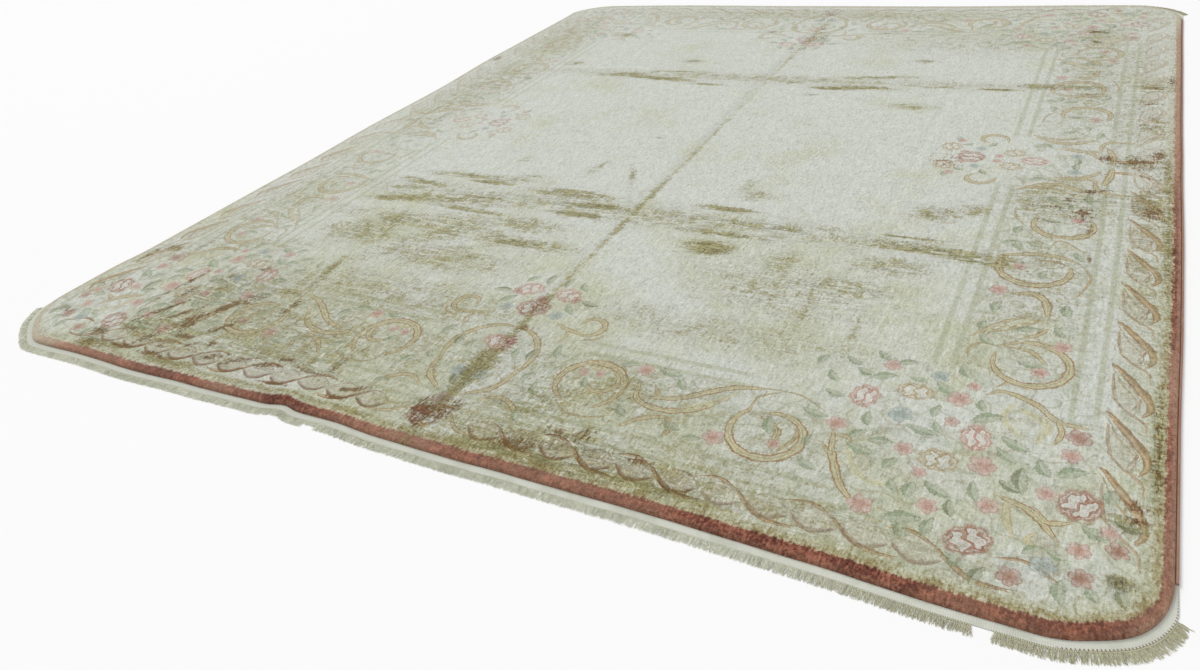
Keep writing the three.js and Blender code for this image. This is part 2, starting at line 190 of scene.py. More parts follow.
# Leaves: x, y, length, breadth, heading and dye.
LEAVES = [
    (1082, 1240, 62, 30, 35, "leaf"),
    (945, 1236, 60, 30, 155, "leaf"),
    (905, 1232, 46, 26, 20, "leaf"),
    (1075, 1322, 48, 22, 100, "leaf"),
    (1176, 1312, 72, 34, 150, "leaf"),
    (1160, 1275, 40, 24, 70, "leaf"),
    (1060, 1392, 70, 28, 10, "leaf"),
    (1090, 1376, 44, 22, 60, "leaf"),
    (1240, 1376, 66, 30, 25, "leaf"),
    (1226, 1414, 56, 26, 40, "leaf"),
    (1262, 1475, 74, 36, 85, "moss"),
    (1246, 1498, 50, 26, 25, "moss"),
    (1296, 1428, 52, 30, 60, "leaf"),
    (1345, 1424, 60, 32, 150, "leaf"),
    (1122, 1552, 62, 28, 25, "leaf"),
    (1074, 1570, 50, 30, 95, "leaf"),
    (1152, 1590, 46, 24, 75, "moss"),
    (1076, 1645, 78, 34, 160, "leaf"),
    (1082, 1672, 50, 28, 80, "leaf"),
    (1124, 1650, 56, 26, 100, "leaf"),
    (1186, 1532, 56, 24, 75, "leaf"),
    (1022, 1510, 46, 24, 120, "leaf"),
    (1042, 1570, 40, 22, 60, "leaf"),
    (948, 1392, 50, 26, 80, "leaf"),
    (958, 1490, 66, 28, 15, "leaf"),
    (990, 1452, 56, 24, 170, "leaf"),
    (940, 1446, 46, 24, 130, "leaf"),
    (1416, 1466, 46, 30, 100, "leaf"),
    (1448, 1528, 50, 26, 5, "moss"),
    (1352, 1716, 54, 28, 85, "leaf"),
    (1222, 1730, 50, 26, 110, "moss"),
    (1400, 1704, 40, 22, 60, "leaf"),
    (1396, 1566, 50, 30, 20, "leaf"),
    (1444, 1690, 46, 24, 75, "moss"),
    (1300, 1640, 42, 20, 140, "leaf"),
    (1180, 1710, 48, 24, 30, "leaf"),
    (1340, 1640, 36, 20, 20, "leaf"),
    (930, 1160, 46, 24, 40, "leaf"),
    (985, 1170, 50, 24, 160, "leaf"),
    (1110, 1165, 56, 28, 60, "leaf"),
    (1020, 1225, 40, 20, 0, "leaf"),
    (860, 1330, 50, 26, 15, "leaf"),
    (840, 1270, 50, 24, 50, "leaf"),
    (800, 1215, 46, 22, 110, "leaf"),
    (870, 1200, 50, 24, 30, "leaf"),
    (480, 1378, 66, 30, 10, "leaf"),
    (524, 1410, 50, 26, 60, "leaf"),
    (372, 1378, 46, 24, 160, "leaf"),
    (172, 1388, 60, 24, 70, "leaf"),
    (112, 1420, 56, 24, 95, "moss"),
    (70, 1428, 46, 22, 80, "leaf"),
    (195, 1540, 56, 26, 60, "leaf"),
    (150, 1500, 40, 20, 120, "leaf"),
    (430, 1545, 50, 24, 45, "leaf"),
    (560, 1556, 60, 26, 20, "leaf"),
    (618, 1580, 46, 22, 160, "leaf"),
    (760, 1480, 66, 30, 75, "leaf"),
    (840, 1410, 60, 26, 10, "leaf"),
    (870, 1570, 56, 26, 30, "leaf"),
    (850, 1500, 40, 20, 90, "leaf"),
    (300, 1480, 46, 22, 60, "leaf"),
    (100, 1205, 60, 24, 50, "leaf"),
    (140, 1166, 56, 26, 10, "moss"),
    (30, 1082, 56, 26, 90, "moss"),
    (85, 1092, 50, 24, 55, "leaf"),
    (20, 1560, 60, 30, 90, "moss"),
    (205, 1640, 46, 22, 60, "leaf"),
    (1130, 880, 60, 28, 100, "leaf"),
    (1210, 960, 60, 26, 160, "leaf"),
    (1278, 955, 50, 24, 60, "leaf"),
    (1112, 970, 44, 22, 95, "leaf"),
    (1285, 860, 60, 30, 80, "leaf"),
    (1235, 1100, 66, 24, 10, "leaf"),
    (1130, 1030, 50, 24, 40, "leaf"),
    (1140, 560, 60, 30, 70, "leaf"),
    (1215, 700, 50, 24, 100, "leaf"),
    (1205, 396, 56, 26, 10, "moss"),
    (1128, 470, 56, 28, 100, "leaf"),
    (1290, 590, 56, 26, 60, "leaf"),
    (1115, 545, 44, 22, 150, "leaf"),
    (1180, 545, 50, 24, 20, "leaf"),
    (870, 140, 50, 24, 100, "leaf"),
    (980, 110, 44, 22, 60, "moss"),
    (1140, 130, 56, 26, 150, "leaf"),
    (1240, 20, 56, 26, 90, "moss"),
    (1290, 245, 60, 28, 80, "leaf"),
    (1200, 260, 50, 24, 30, "leaf"),
    (1250, 300, 46, 22, 110, "leaf"),
    (905, 100, 40, 20, 30, "leaf"),
]

# Volutes: a band that winds about its eye. Angles run from the rug's right side towards its near end.
VOLUTE_COLUMNS = ("x", "y", "first_radius", "last_radius", "first_angle", "last_angle", "half", "dye")
VOLUTES = [
    (310, 1480, 90, 78, 50, -238, 13, "scroll"),
    (336, 1464, 46, 34, -70, 150, 9, "scroll"),
    (768, 1508, 90, 66, 224, -112, 13, "scroll"),
    (1232, 1098, 76, 86, 190, -142, 12, "scroll"),
    (1195, 672, 90, 82, 206, -14, 14, "scroll"),
    (1236, 416, 74, 78, 200, -30, 13, "scroll"),
    (196, 1258, 48, 26, 100, -170, 10, "scroll"),
    (974, 152, 48, 30, 0, 230, 10, "scroll"),
    (0, 1446, 126, 126, 30, -88, 10, "scroll"),
    (1196, 0, 118, 118, 22, 88, 10, "scroll"),
]

# Sprays: a band through three to five places, with its half width and its dye.
SPRAYS = [
    (((428, 1440), (446, 1494), (510, 1513), (586, 1490), (640, 1432)), 11, "scroll"),
    (((470, 1482), (540, 1460), (600, 1414), (650, 1382), (706, 1366)), 11, "scroll"),
    (((468, 1440), (486, 1462), (474, 1486)), 7, "acanthus"),
    (((560, 1490), (610, 1456), (660, 1400)), 9, "cream"),
    (((452, 1592), (490, 1552), (548, 1528)), 8, "scroll"),
    (((536, 1534), (560, 1562), (556, 1590)), 9, "acanthus"),
    (((268, 1562), (304, 1590), (364, 1592), (420, 1566)), 4, "thread"),
    (((262, 1400), (300, 1420), (330, 1418)), 7, "peach"),
    (((640, 1382), (704, 1366), (790, 1362), (856, 1396)), 3, "thread"),
    (((702, 1446), (708, 1396), (748, 1368)), 4, "thread"),
    (((742, 1466), (782, 1490), (786, 1546)), 10, "acanthus"),
    (((896, 1462), (904, 1508), (926, 1560), (950, 1606), (982, 1640)), 11, "scroll"),
    (((900, 1466), (924, 1462), (936, 1478)), 6, "scroll"),
    (((934, 1494), (964, 1552), (1000, 1574), (1048, 1568)), 11, "cream"),
    (((884, 1500), (900, 1520), (924, 1512)), 5, "scroll"),
    (((96, 1612), (140, 1594), (190, 1622), (214, 1672)), 8, "scroll"),
    (((40, 1612), (96, 1568), (118, 1500)), 10, "scroll"),
    (((60, 1690), (96, 1724), (150, 1740)), 6, "scroll"),
    (((108, 1278), (140, 1290), (196, 1302)), 8, "scroll"),
    (((146, 1296), (158, 1326), (146, 1358)), 5, "scroll"),
    (((200, 1326), (236, 1312), (250, 1288)), 5, "thread"),
    (((1170, 1228), (1196, 1212), (1262, 1236), (1306, 1278), (1362, 1284)), 9, "scroll"),
    (((1236, 1262), (1290, 1296), (1276, 1352)), 15, "cream"),
    (((1220, 1250), (1206, 1300), (1240, 1346)), 9, "cream"),
    (((1306, 1276), (1318, 1310), (1310, 1346)), 8, "scroll"),
    (((1236, 1530), (1290, 1550), (1334, 1602)), 10, "scroll"),
    (((1290, 1536), (1316, 1566), (1352, 1556)), 8, "scroll"),
    (((1246, 1540), (1250, 1580), (1262, 1612)), 9, "peach"),
    (((1300, 1600), (1290, 1622), (1312, 1634)), 6, "peach"),
    (((1166, 812), (1204, 798), (1236, 830), (1246, 894)), 13, "scroll"),
    (((1102, 1016), (1136, 966), (1176, 926), (1200, 902)), 7, "scroll"),
    (((1110, 1004), (1180, 962), (1248, 900)), 7, "scroll"),
    (((1130, 984), (1176, 950), (1226, 908)), 12, "cream"),
    (((1204, 1004), (1236, 976), (1256, 940)), 7, "scroll"),
    (((1112, 620), (1180, 600), (1236, 598), (1288, 618)), 10, "scroll"),
    (((1200, 628), (1236, 624), (1262, 636)), 5, "brown"),
    (((1306, 640), (1324, 690), (1314, 744), (1298, 792)), 4, "thread"),
    (((1102, 1104), (1102, 1062), (1122, 1044), (1146, 1046)), 4, "thread"),
    (((1168, 1040), (1226, 1046), (1262, 1086)), 8, "scroll"),
    (((1180, 1200), (1204, 1176), (1240, 1190)), 5, "thread"),
    (((1104, 208), (1150, 170), (1210, 160), (1276, 196)), 12, "scroll"),
    (((1120, 196), (1190, 190), (1236, 214)), 9, "acanthus"),
    (((1196, 108), (1250, 102), (1300, 112)), 11, "scroll"),
    (((1340, 16), (1334, 80), (1320, 136)), 13, "scroll"),
    (((1296, 96), (1312, 180), (1404, 200)), 8, "scroll"),
    (((1220, 540), (1240, 508), (1300, 560)), 4, "thread"),
    (((1320, 60), (1360, 40), (1440, 56)), 10, "brown"),
    (((1106, 330), (1112, 390), (1140, 440)), 4, "thread"),
    (((812, 1450), (826, 1500), (800, 1560)), 6, "thread"),
]

# The twisted ribbon of the outer guard: one turn of it, at the near end and at the sides. Places are from
# the start of the turn along the edge, and from the edge of the pile inwards.
RIBBON_END = {
    "pitch": 190, "from": 24, "turns": range(0, 7), "shown": (130, 1150),
    "bands": [
        (((-18, 118), (20, 84), (58, 64), (106, 64)), 7, "brown"),
        (((46, 69), (80, 61), (110, 66)), 4, "umber"),
        (((90, 130), (132, 136), (182, 110)), 5, "brown"),
    ],
    "eyes": [(50, 97, 50, 35, 6), (145, 97, 50, 35, 6)],
    "eye_dye": "cream",
}
RIBBON_SIDE = {
    "pitch": 175, "from": 0, "turns": range(0, 9), "shown": (-50, 1420),
    "bands": [
        (((-4, 119), (56, 82), (100, 55), (138, 49), (160, 60)), 11, "brown"),
        (((104, 52), (136, 47), (162, 61)), 4, "umber"),
        (((112, 121), (152, 92), (184, 58), (214, 54)), 4, "ribbon"),
        (((26, 121), (80, 119), (126, 110)), 4, "ribbon"),
        (((12, 122), (62, 104), (112, 74), (146, 68)), 3, "thread"),
        (((60, 70), (92, 62), (120, 70), (150, 84)), 3, "umber"),
    ],
    "eyes": [(106, 94, 62, 26, 74)],
    "eye_dye": "ribbon",
}

# Where the near end's ribbon has kept its dark brown, from x to x.
DARK_RIBBON = ((-1260, -150), (90, 690))

# Guard lines: pairs of pale stripes, by their distance from the pile's straight edges, and where they end
# short of the near and far ends, and short of the sides.
GUARDS = [
    {"stripes": ((137, 150), (182, 195)), "end_y": 1290, "end_x": 1000, "gap": 0},
    {"stripes": ((433, 447), (474, 488)), "end_y": 1175, "end_x": 690, "gap": 215},
]

# How deep the red of the edge band still is, by the place along each edge: from 0, faded, to 1.
EDGE_DEPTH = {
    "near": [
        (-1400, 0.12), (-1290, 0.28), (-1200, 0.6), (-1130, 0.7), (-1000, 0.72), (-860, 0.84), (-720, 0.86),
        (-600, 0.66), (-480, 0.84), (-380, 1.05), (-260, 0.86), (-180, 0.74), (0, 0.66), (180, 0.78),
        (400, 0.74), (620, 0.78), (760, 1), (1050, 1.05), (1200, 0.78), (1450, 0.9),
    ],
    "right": [
        (-1600, 0.72), (-1300, 0.86), (-1100, 0.58), (-800, 0.95), (-650, 1), (-300, 0.86), (60, 0.56),
        (300, 0.4), (900, 0.36), (1300, 0.34), (1650, 0.1), (1750, 0),
    ],
    "far": [(-1400, 0.02), (1300, 0.04), (1450, 0.1)],
    "left": [(-1700, 0.16), (-1400, 0.1), (-1000, 0.06), (1700, 0.02)],
}

# Worn patches and painted shade: x, y, reach along and across, turn, and how much olive, brown and dark red
# each holds.
# The olive is partly soiling and partly painted shade, along the folds' creases and where the nap turns.
WEAR_AND_SHADE_FALL = 1.2
WEAR_AND_SHADE = [
    # Rows along the middle crease: their olive is painted shade.
    (12, -1500, 20, 600, 0, 0.78, 0.1, 0),
    (12, -600, 16, 420, 0, 0.72, 0, 0),
    (12, 0, 15, 500, 0, 0.52, 0, 0),
    (12, 1000, 15, 800, 0, 0.46, 0, 0),
    (8, -1520, 38, 110, 0, 1.0, 0.4, 0),
    (-20, -1700, 34, 52, 30, 0.6, 1.0, 0.5),
    (34, -1676, 30, 48, -40, 0.6, 0.9, 0.4),
    (14, -1215, 34, 50, 0, 0.5, 0.2, 0.5),
    (30, -1322, 26, 14, 0, 0.4, 0.9, 0.2),
    (24, -1390, 30, 44, 0, 0.1, 0.3, 0.6),
    (20, 1280, 26, 300, 0, 0.5, 0.4, 0.1),
    # Rows about the crease across the near half, at y = -640: their olive is painted shade.
    (-590, -536, 100, 18, 2, 1.0, 0.25, 0),
    (-250, -535, 90, 13, 0, 0.8, 0.2, 0),
    (290, -540, 105, 16, 0, 1.0, 0.3, 0),
    (-150, -622, 160, 20, 3, 0.9, 0.3, 0),
    (-170, -690, 110, 22, 0, 0.9, 0.25, 0),
    (-560, -655, 180, 14, 0, 0.8, 0.1, 0),
    (-560, -750, 190, 16, -3, 0.85, 0.15, 0),
    (-870, -730, 130, 26, 8, 0.9, 0.3, 0),
    (880, -655, 210, 14, -2, 0.9, 0.3, 0),
    (860, -590, 120, 9, 2, 0.7, 0.3, 0),
    (1060, -680, 130, 12, -4, 0.8, 0.2, 0),
    (330, -785, 80, 46, 0, 0.95, 0.4, 0),
    (330, -700, 180, 18, 0, 0.75, 0.1, 0),
    (-250, -910, 200, 40, 0, 0.75, 0.15, 0),
    (-560, -860, 260, 90, 4, 0.5, 0.05, 0),
    (-820, -980, 200, 110, 0, 0.5, 0.1, 0),
    (-450, -1060, 300, 100, 0, 0.46, 0.05, 0),
    (0, -640, 1250, 90, 0, 0.42, 0.05, 0),
    (620, -950, 300, 160, 0, 0.4, 0, 0),
    (850, -760, 120, 60, 0, 0.5, 0.1, 0),
    (500, -1180, 500, 90, 0, 0.34, 0, 0),
    (-905, -1500, 20, 70, -24, 0.7, 1.0, 0),
    (-950, -1590, 44, 60, -30, 0.6, 0.8, 0.2),
    (-860, -1440, 50, 30, 30, 0.6, 0.7, 0),
    (-1150, -1400, 10, 60, -4, 0.6, 0.8, 0),
    (-1166, -1500, 8, 120, -4, 0.5, 0.6, 0),
    (-1185, -1706, 34, 24, 0, 0.6, 1.0, 0),
    (-1010, -1690, 16, 50, -30, 0.3, 0.9, 0),
    (-930, -1700, 26, 16, 0, 0.3, 0.8, 0.3),
    (-730, -1700, 60, 11, 24, 0.3, 0.9, 0),
    (-640, -1690, 70, 11, 30, 0.3, 0.9, 0),
    (-250, -1700, 60, 12, 24, 0.3, 1.0, 0),
    (-350, -1620, 14, 60, 0, 0.5, 0.6, 0),
    (-1010, -1560, 13, 80, -36, 0.5, 1.0, 0),
    (-1090, -1560, 12, 90, -30, 0.5, 1.0, 0),
    (-820, -1580, 12, 60, -40, 0.4, 0.9, 0),
    (1290, -190, 26, 14, 0, 0.3, 1.0, 0.2),
    (1430, -60, 26, 12, -30, 0.3, 1.0, 0.2),
    (1450, 90, 22, 60, 0, 0.3, 0.7, 0.3),
    (1180, -300, 50, 12, 0, 0.6, 0.9, 0),
    (1240, -250, 14, 34, 0, 0.5, 0.9, 0),
    (1440, 560, 40, 10, 10, 0.4, 0.9, 0),
    (1440, 720, 16, 30, 0, 0.5, 0.6, 0),
    (-1160, -1760, 50, 26, 0, 0.9, 0.6, 0),
    (-1040, -1738, 70, 9, 4, 0.4, 1.0, 0),
    (-930, -1738, 60, 9, 0, 0.4, 1.0, 0),
    (-900, -1648, 46, 11, 0, 0.5, 1.0, 0),
    (-780, -1652, 30, 11, 0, 0.5, 1.0, 0),
    (-400, -1674, 70, 9, -4, 0.4, 0.9, 0),
    (-850, -1676, 30, 10, 40, 0.3, 0.9, 0),
    (-545, -1684, 60, 11, 14, 0.4, 1.0, 0),
    (-510, -1650, 28, 12, 0, 0.5, 0.9, 0),
    (-430, -1640, 26, 44, 0, 0.7, 0.4, 0),
    (-455, -1742, 60, 9, 0, 0.3, 0.9, 0),
    (-265, -1738, 40, 10, 0, 0.3, 1.0, 0.1),
    (-1100, -1650, 60, 50, 0, 0.6, 0.3, 0),
    (-1080, -1480, 80, 60, 0, 0.5, 0.3, 0.1),
    (-700, -1700, 420, 46, 0, 0.4, 0.14, 0),
    (-820, -1430, 340, 170, 0, 0.38, 0.12, 0),
    (-500, -1500, 260, 120, 0, 0.26, 0.06, 0),
    (250, -1726, 50, 20, 0, 0.4, 1.0, 0.2),
    (400, -1650, 20, 60, 0, 0.6, 0.5, 0),
    (300, -1750, 260, 30, 0, 0.8, 0.2, 0),
    (540, -1684, 34, 12, 0, 0.3, 0.9, 0),
    (340, -1660, 50, 16, 0, 0.4, 0.6, 0),
    (640, -1640, 420, 90, 0, 0.3, 0, 0),
    # Rows about the crease across the far half, at y = 665: their olive is painted shade.
    (-500, 620, 210, 26, -6, 0.9, 0.15, 0),
    (-230, 565, 80, 13, 0, 0.8, 0.2, 0),
    (-640, 660, 90, 24, 0, 0.8, 0.2, 0),
    (310, 580, 100, 18, 0, 1.0, 0.55, 0),
    (130, 630, 60, 13, 0, 0.6, 0.2, 0),
    (-430, 710, 150, 13, 4, 0.7, 0.1, 0),
    (470, 730, 160, 20, 8, 0.7, 0.15, 0),
    (920, 640, 90, 14, 0, 1.0, 0.5, 0),
    (1080, 690, 120, 36, 0, 0.6, 0.2, 0),
    (0, 665, 1300, 60, 0, 0.4, 0, 0),
    (590, 950, 40, 24, 0, 0.7, 0.3, 0),
    (-410, 860, 60, 28, 0, 0.6, 0.2, 0),
    (240, 495, 40, 13, 0, 0.6, 0.2, 0),
    (650, 420, 110, 30, 0, 0.56, 0.1, 0),
    (-1000, 780, 60, 40, 0, 0.5, 0.2, 0),
    (-1120, 540, 24, 18, 0, 0.5, 0.7, 0),
    (-200, 1340, 50, 24, 0, 0.5, 0.5, 0.1),
    (60, 1240, 60, 120, 0, 0.46, 0.2, 0.1),
    (350, 1340, 90, 14, 0, 0.5, 0.4, 0),
    (1210, 1390, 44, 22, 0, 0.9, 0.8, 0),
    (1220, 1260, 44, 26, 0, 0.6, 0.6, 0),
    (840, 1250, 9, 260, 0, 0.42, 0.2, 0),
    (1390, 700, 90, 760, 0, 0.34, 0.1, 0),
    (1440, -700, 60, 560, 0, 0.36, 0, 0),
    (800, 1250, 620, 240, 0, 0.3, 0.05, 0),
    (-960, 1250, 70, 40, 0, 0.5, 0.2, 0),
    (1320, 60, 30, 30, 0, 0.4, 0.9, 0.2),
    (1415, 58, 50, 24, 0, 0.4, 1.0, 0.2),
    (1462, 110, 16, 50, 0, 0.4, 0.9, 0.1),
    (1460, -60, 16, 50, 0, 0.4, 0.6, 0.1),
    (1320, -172, 24, 10, 0, 0.3, 0.9, 0),
    (1450, -300, 40, 50, 0, 0.5, 0.8, 0.1),
    (1280, -330, 30, 60, 0, 0.5, 0.6, 0.3),
    (1300, -440, 14, 60, 0, 0.5, 0.5, 0.1),
    (1112, -660, 22, 46, 0, 0.9, 0.4, 0),
    (1314, -590, 8, 18, 0, 0.4, 0.9, 0),
    (1490, 790, 18, 60, 0, 0.3, 0.7, 0),
    (1440, 720, 60, 70, 0, 0.5, 0.3, 0),
    (1456, -1486, 20, 32, 0, 0.3, 0.8, 0.7),
    (1440, -1520, 34, 20, 0, 0.8, 0.2, 0),
    (1440, -1660, 24, 16, 0, 0.9, 0.5, 0),
    (1486, -1260, 10, 200, 0, 0.8, 0.7, 0),
    (-1475, 815, 20, 50, 0, 0.4, 0.7, 0),
    (-1472, -1320, 12, 50, 0, 0.6, 0.7, 0),
    (-1420, -1270, 50, 26, 0, 0.6, 0.3, 0),
    (-1405, -1670, 34, 30, 0, 0.4, 0.4, 0.3),
    (-1040, -1355, 16, 16, 0, 0.9, 0.2, 0),
    (-520, -30, 60, 8, 0, 0.5, 0.1, 0),
    (-180, -35, 50, 8, 0, 0.5, 0.1, 0),
    (-280, -330, 22, 70, -10, 0.5, 0.1, 0),
    (-120, -380, 12, 110, 24, 0.56, 0.2, 0),
    (-480, -460, 50, 20, 10, 0.6, 0.2, 0),
    (-590, -330, 26, 30, 0, 0.5, 0.1, 0),
    (350, -430, 60, 40, 0, 0.55, 0.15, 0),
    (300, -360, 20, 50, 0, 0.5, 0.1, 0),
    (900, -430, 90, 60, 0, 0.5, 0.2, 0),
    (1000, -380, 60, 50, 0, 0.5, 0.2, 0),
    (860, -40, 50, 60, 0, 0.1, 0.2, 0.5),
    (-900, -640, 160, 30, 14, 0.5, 0.1, 0),
    (-640, -1010, 60, 200, -30, 0.44, 0.05, 0),
    (700, -1010, 16, 200, 0, 0.46, 0, 0),
    (840, -1100, 14, 200, 0, 0.4, 0, 0),
    (-1290, 400, 180, 700, 0, 0.36, 0, 0),
    (-1290, 1200, 220, 500, 0, 0.36, 0, 0),
    (0, 1640, 1400, 120, 0, 0.36, 0, 0),
    (400, -1700, 900, 70, 0, 0.5, 0, 0),
    (-200, -1765, 1100, 12, 0, 0.6, 0.1, 0),
    (1230, 900, 130, 800, 0, 0.34, 0, 0),
    (-500, -1300, 700, 160, 0, 0.4, 0.04, 0),
    (-1290, -900, 180, 600, 0, 0.3, 0, 0),
    (1210, -720, 150, 480, 0, 0.32, 0, 0),
    (1230, -260, 190, 190, 0, 0.46, 0.1, 0),
    (1430, -480, 56, 420, 0, 0.42, 0, 0),
    (1440, -240, 70, 130, 0, 0.62, 0.3, 0),
    (1486, -480, 14, 360, 0, 0.66, 0.2, 0),
    (1484, -60, 14, 240, 0, 0.6, 0.2, 0),
    (1210, 1330, 160, 220, 0, 0.4, 0.1, 0),
    (0, -1500, 1180, 190, 0, 0.33, 0, 0),
    (200, -1610, 230, 60, 0, 0.46, 0.1, 0),
    (400, -1480, 150, 120, 0, 0.44, 0.06, 0),
    (560, -1748, 240, 22, 0, 0.8, 0.1, 0),
    (-840, -1752, 130, 20, 0, 0.8, 0.3, 0),
    (-1110, -1754, 110, 20, 0, 0.66, 0.2, 0),
    (-1000, -1620, 180, 90, 0, 0.5, 0.26, 0),
    (-600, -1640, 260, 40, 0, 0.55, 0.1, 0),
    (-745, -1240, 18, 130, 8, 0.7, 0.3, 0),
    (-700, -1440, 26, 60, 0, 0.6, 0.6, 0),
    (-560, -1320, 50, 14, 0, 0.6, 0.2, 0),
    (-780, -1375, 130, 9, 0, 0.6, 0.4, 0),
    (-1100, -1480, 10, 70, -6, 0.6, 0.7, 0.1),
    (-960, -1290, 40, 30, 0, 0.3, 0.4, 0.3),
    (-1320, -1230, 12, 40, 0, 0.5, 0.5, 0),
    (-1200, -1215, 60, 10, 0, 0.5, 0.3, 0),
    (-640, -1090, 9, 120, -34, 0.5, 0.2, 0),
    (-1050, -1150, 200, 70, 10, 0.36, 0, 0),
    (-870, -860, 260, 60, 0, 0.36, 0, 0),
    (1250, 620, 60, 60, 0, 0.5, 0.2, 0),
    (-960, -1680, 250, 46, 0, 0.46, 0.3, 0),
    (-640, -1560, 520, 200, 0, 0.46, 0.12, 0),
    (-900, -1380, 240, 140, 0, 0.42, 0.16, 0),
    (-1020, -1440, 90, 110, 20, 0.5, 0.26, 0.1),
    (330, -1700, 260, 44, 0, 0.6, 0.2, 0),
    (240, -1560, 120, 90, 0, 0.5, 0.2, 0),
    (640, -1700, 160, 40, 0, 0.5, 0.1, 0),
    # More rows about both creases across the rug: their olive is painted shade.
    (-680, -500, 260, 22, 2, 0.7, 0.2, 0),
    (-260, -560, 200, 40, 0, 0.66, 0.2, 0),
    (-880, -590, 140, 26, -8, 0.66, 0.2, 0),
    (-700, -700, 330, 40, 3, 0.6, 0.1, 0),
    (-760, -880, 90, 70, 20, 0.62, 0.1, 0),
    (-540, -920, 110, 60, 0, 0.6, 0.1, 0),
    (-300, -800, 160, 60, 0, 0.56, 0.1, 0),
    (980, -640, 260, 26, -3, 0.7, 0.25, 0),
    (560, -820, 60, 90, 0, 0.5, 0.1, 0),
    (760, -900, 160, 60, 0, 0.52, 0.1, 0),
    (420, -620, 260, 20, 0, 0.6, 0.2, 0),
    (420, 600, 160, 22, 0, 0.8, 0.3, 0),
    (-700, 640, 160, 34, -6, 0.6, 0.2, 0),
    (700, 640, 260, 14, 0, 0.6, 0.2, 0),
    (1420, 40, 90, 60, 0, 0.6, 0.6, 0.2),
    (1440, 330, 60, 120, 0, 0.5, 0.3, 0),
    (1430, 720, 90, 30, 0, 0.7, 0.3, 0),
    (1200, 700, 140, 40, 0, 0.55, 0.2, 0),
]

# How strongly the design still shows at the rubbed left side, the far end and the outer guard of the right
# side, and the stretch over which each of these fades in. The near end keeps most of what the left side
# loses.
STRENGTH_LEFT = 0.66
STRENGTH_FAR = 0.76
STRENGTH_OUTER = 0.6
NEAR_KEEPS = 0.8
LEFT_FADES = (900, -1400)
NEAR_FADES = (-900, -1300)
FAR_FADES = (-700, 1500)
OUTER_FADES = (1370, 1400)
OUTER_STARTS = (-500, 0)

# Where small leaves fill the ground: the border, by its distance from the pile's edge, and the corner sprays.
FILLING_OUTER = (150, 170)
FILLING_INNER = (450, 430)
FILLING_CORNER_X = (860, 920)
FILLING_CORNER_Y = (1170, 1230)


def smooth(t):
    return t * t * (3 - 2 * t)


def ramp(value, low, high):
    """Eases from 0 to 1 as the value goes from low to high."""
    return smooth(np.clip((value - low) / (high - low), 0, 1))


def fade(distance, reach):
    return 1 - ramp(distance, 0, reach)


def bell(distance, half):
    return np.exp(-((distance / half) ** 2))


def eased(rows, at):
    """The value at a place, eased from row to row of a table of places and values."""
    at = np.asarray(at, float)
    out = np.full(at.shape, float(rows[-1][1]))
    out[at <= rows[0][0]] = rows[0][1]
    for (a, first), (b, last) in zip(rows, rows[1:]):
        inside = (at > a) & (at <= b)
        out[inside] = first + (last - first) * ramp(at[inside], a, b)
    return out


def run_of(path):
    """The length along a path up to each of its points."""
    return np.concatenate([[0], np.cumsum(np.hypot(*np.diff(path, axis=0).T))])


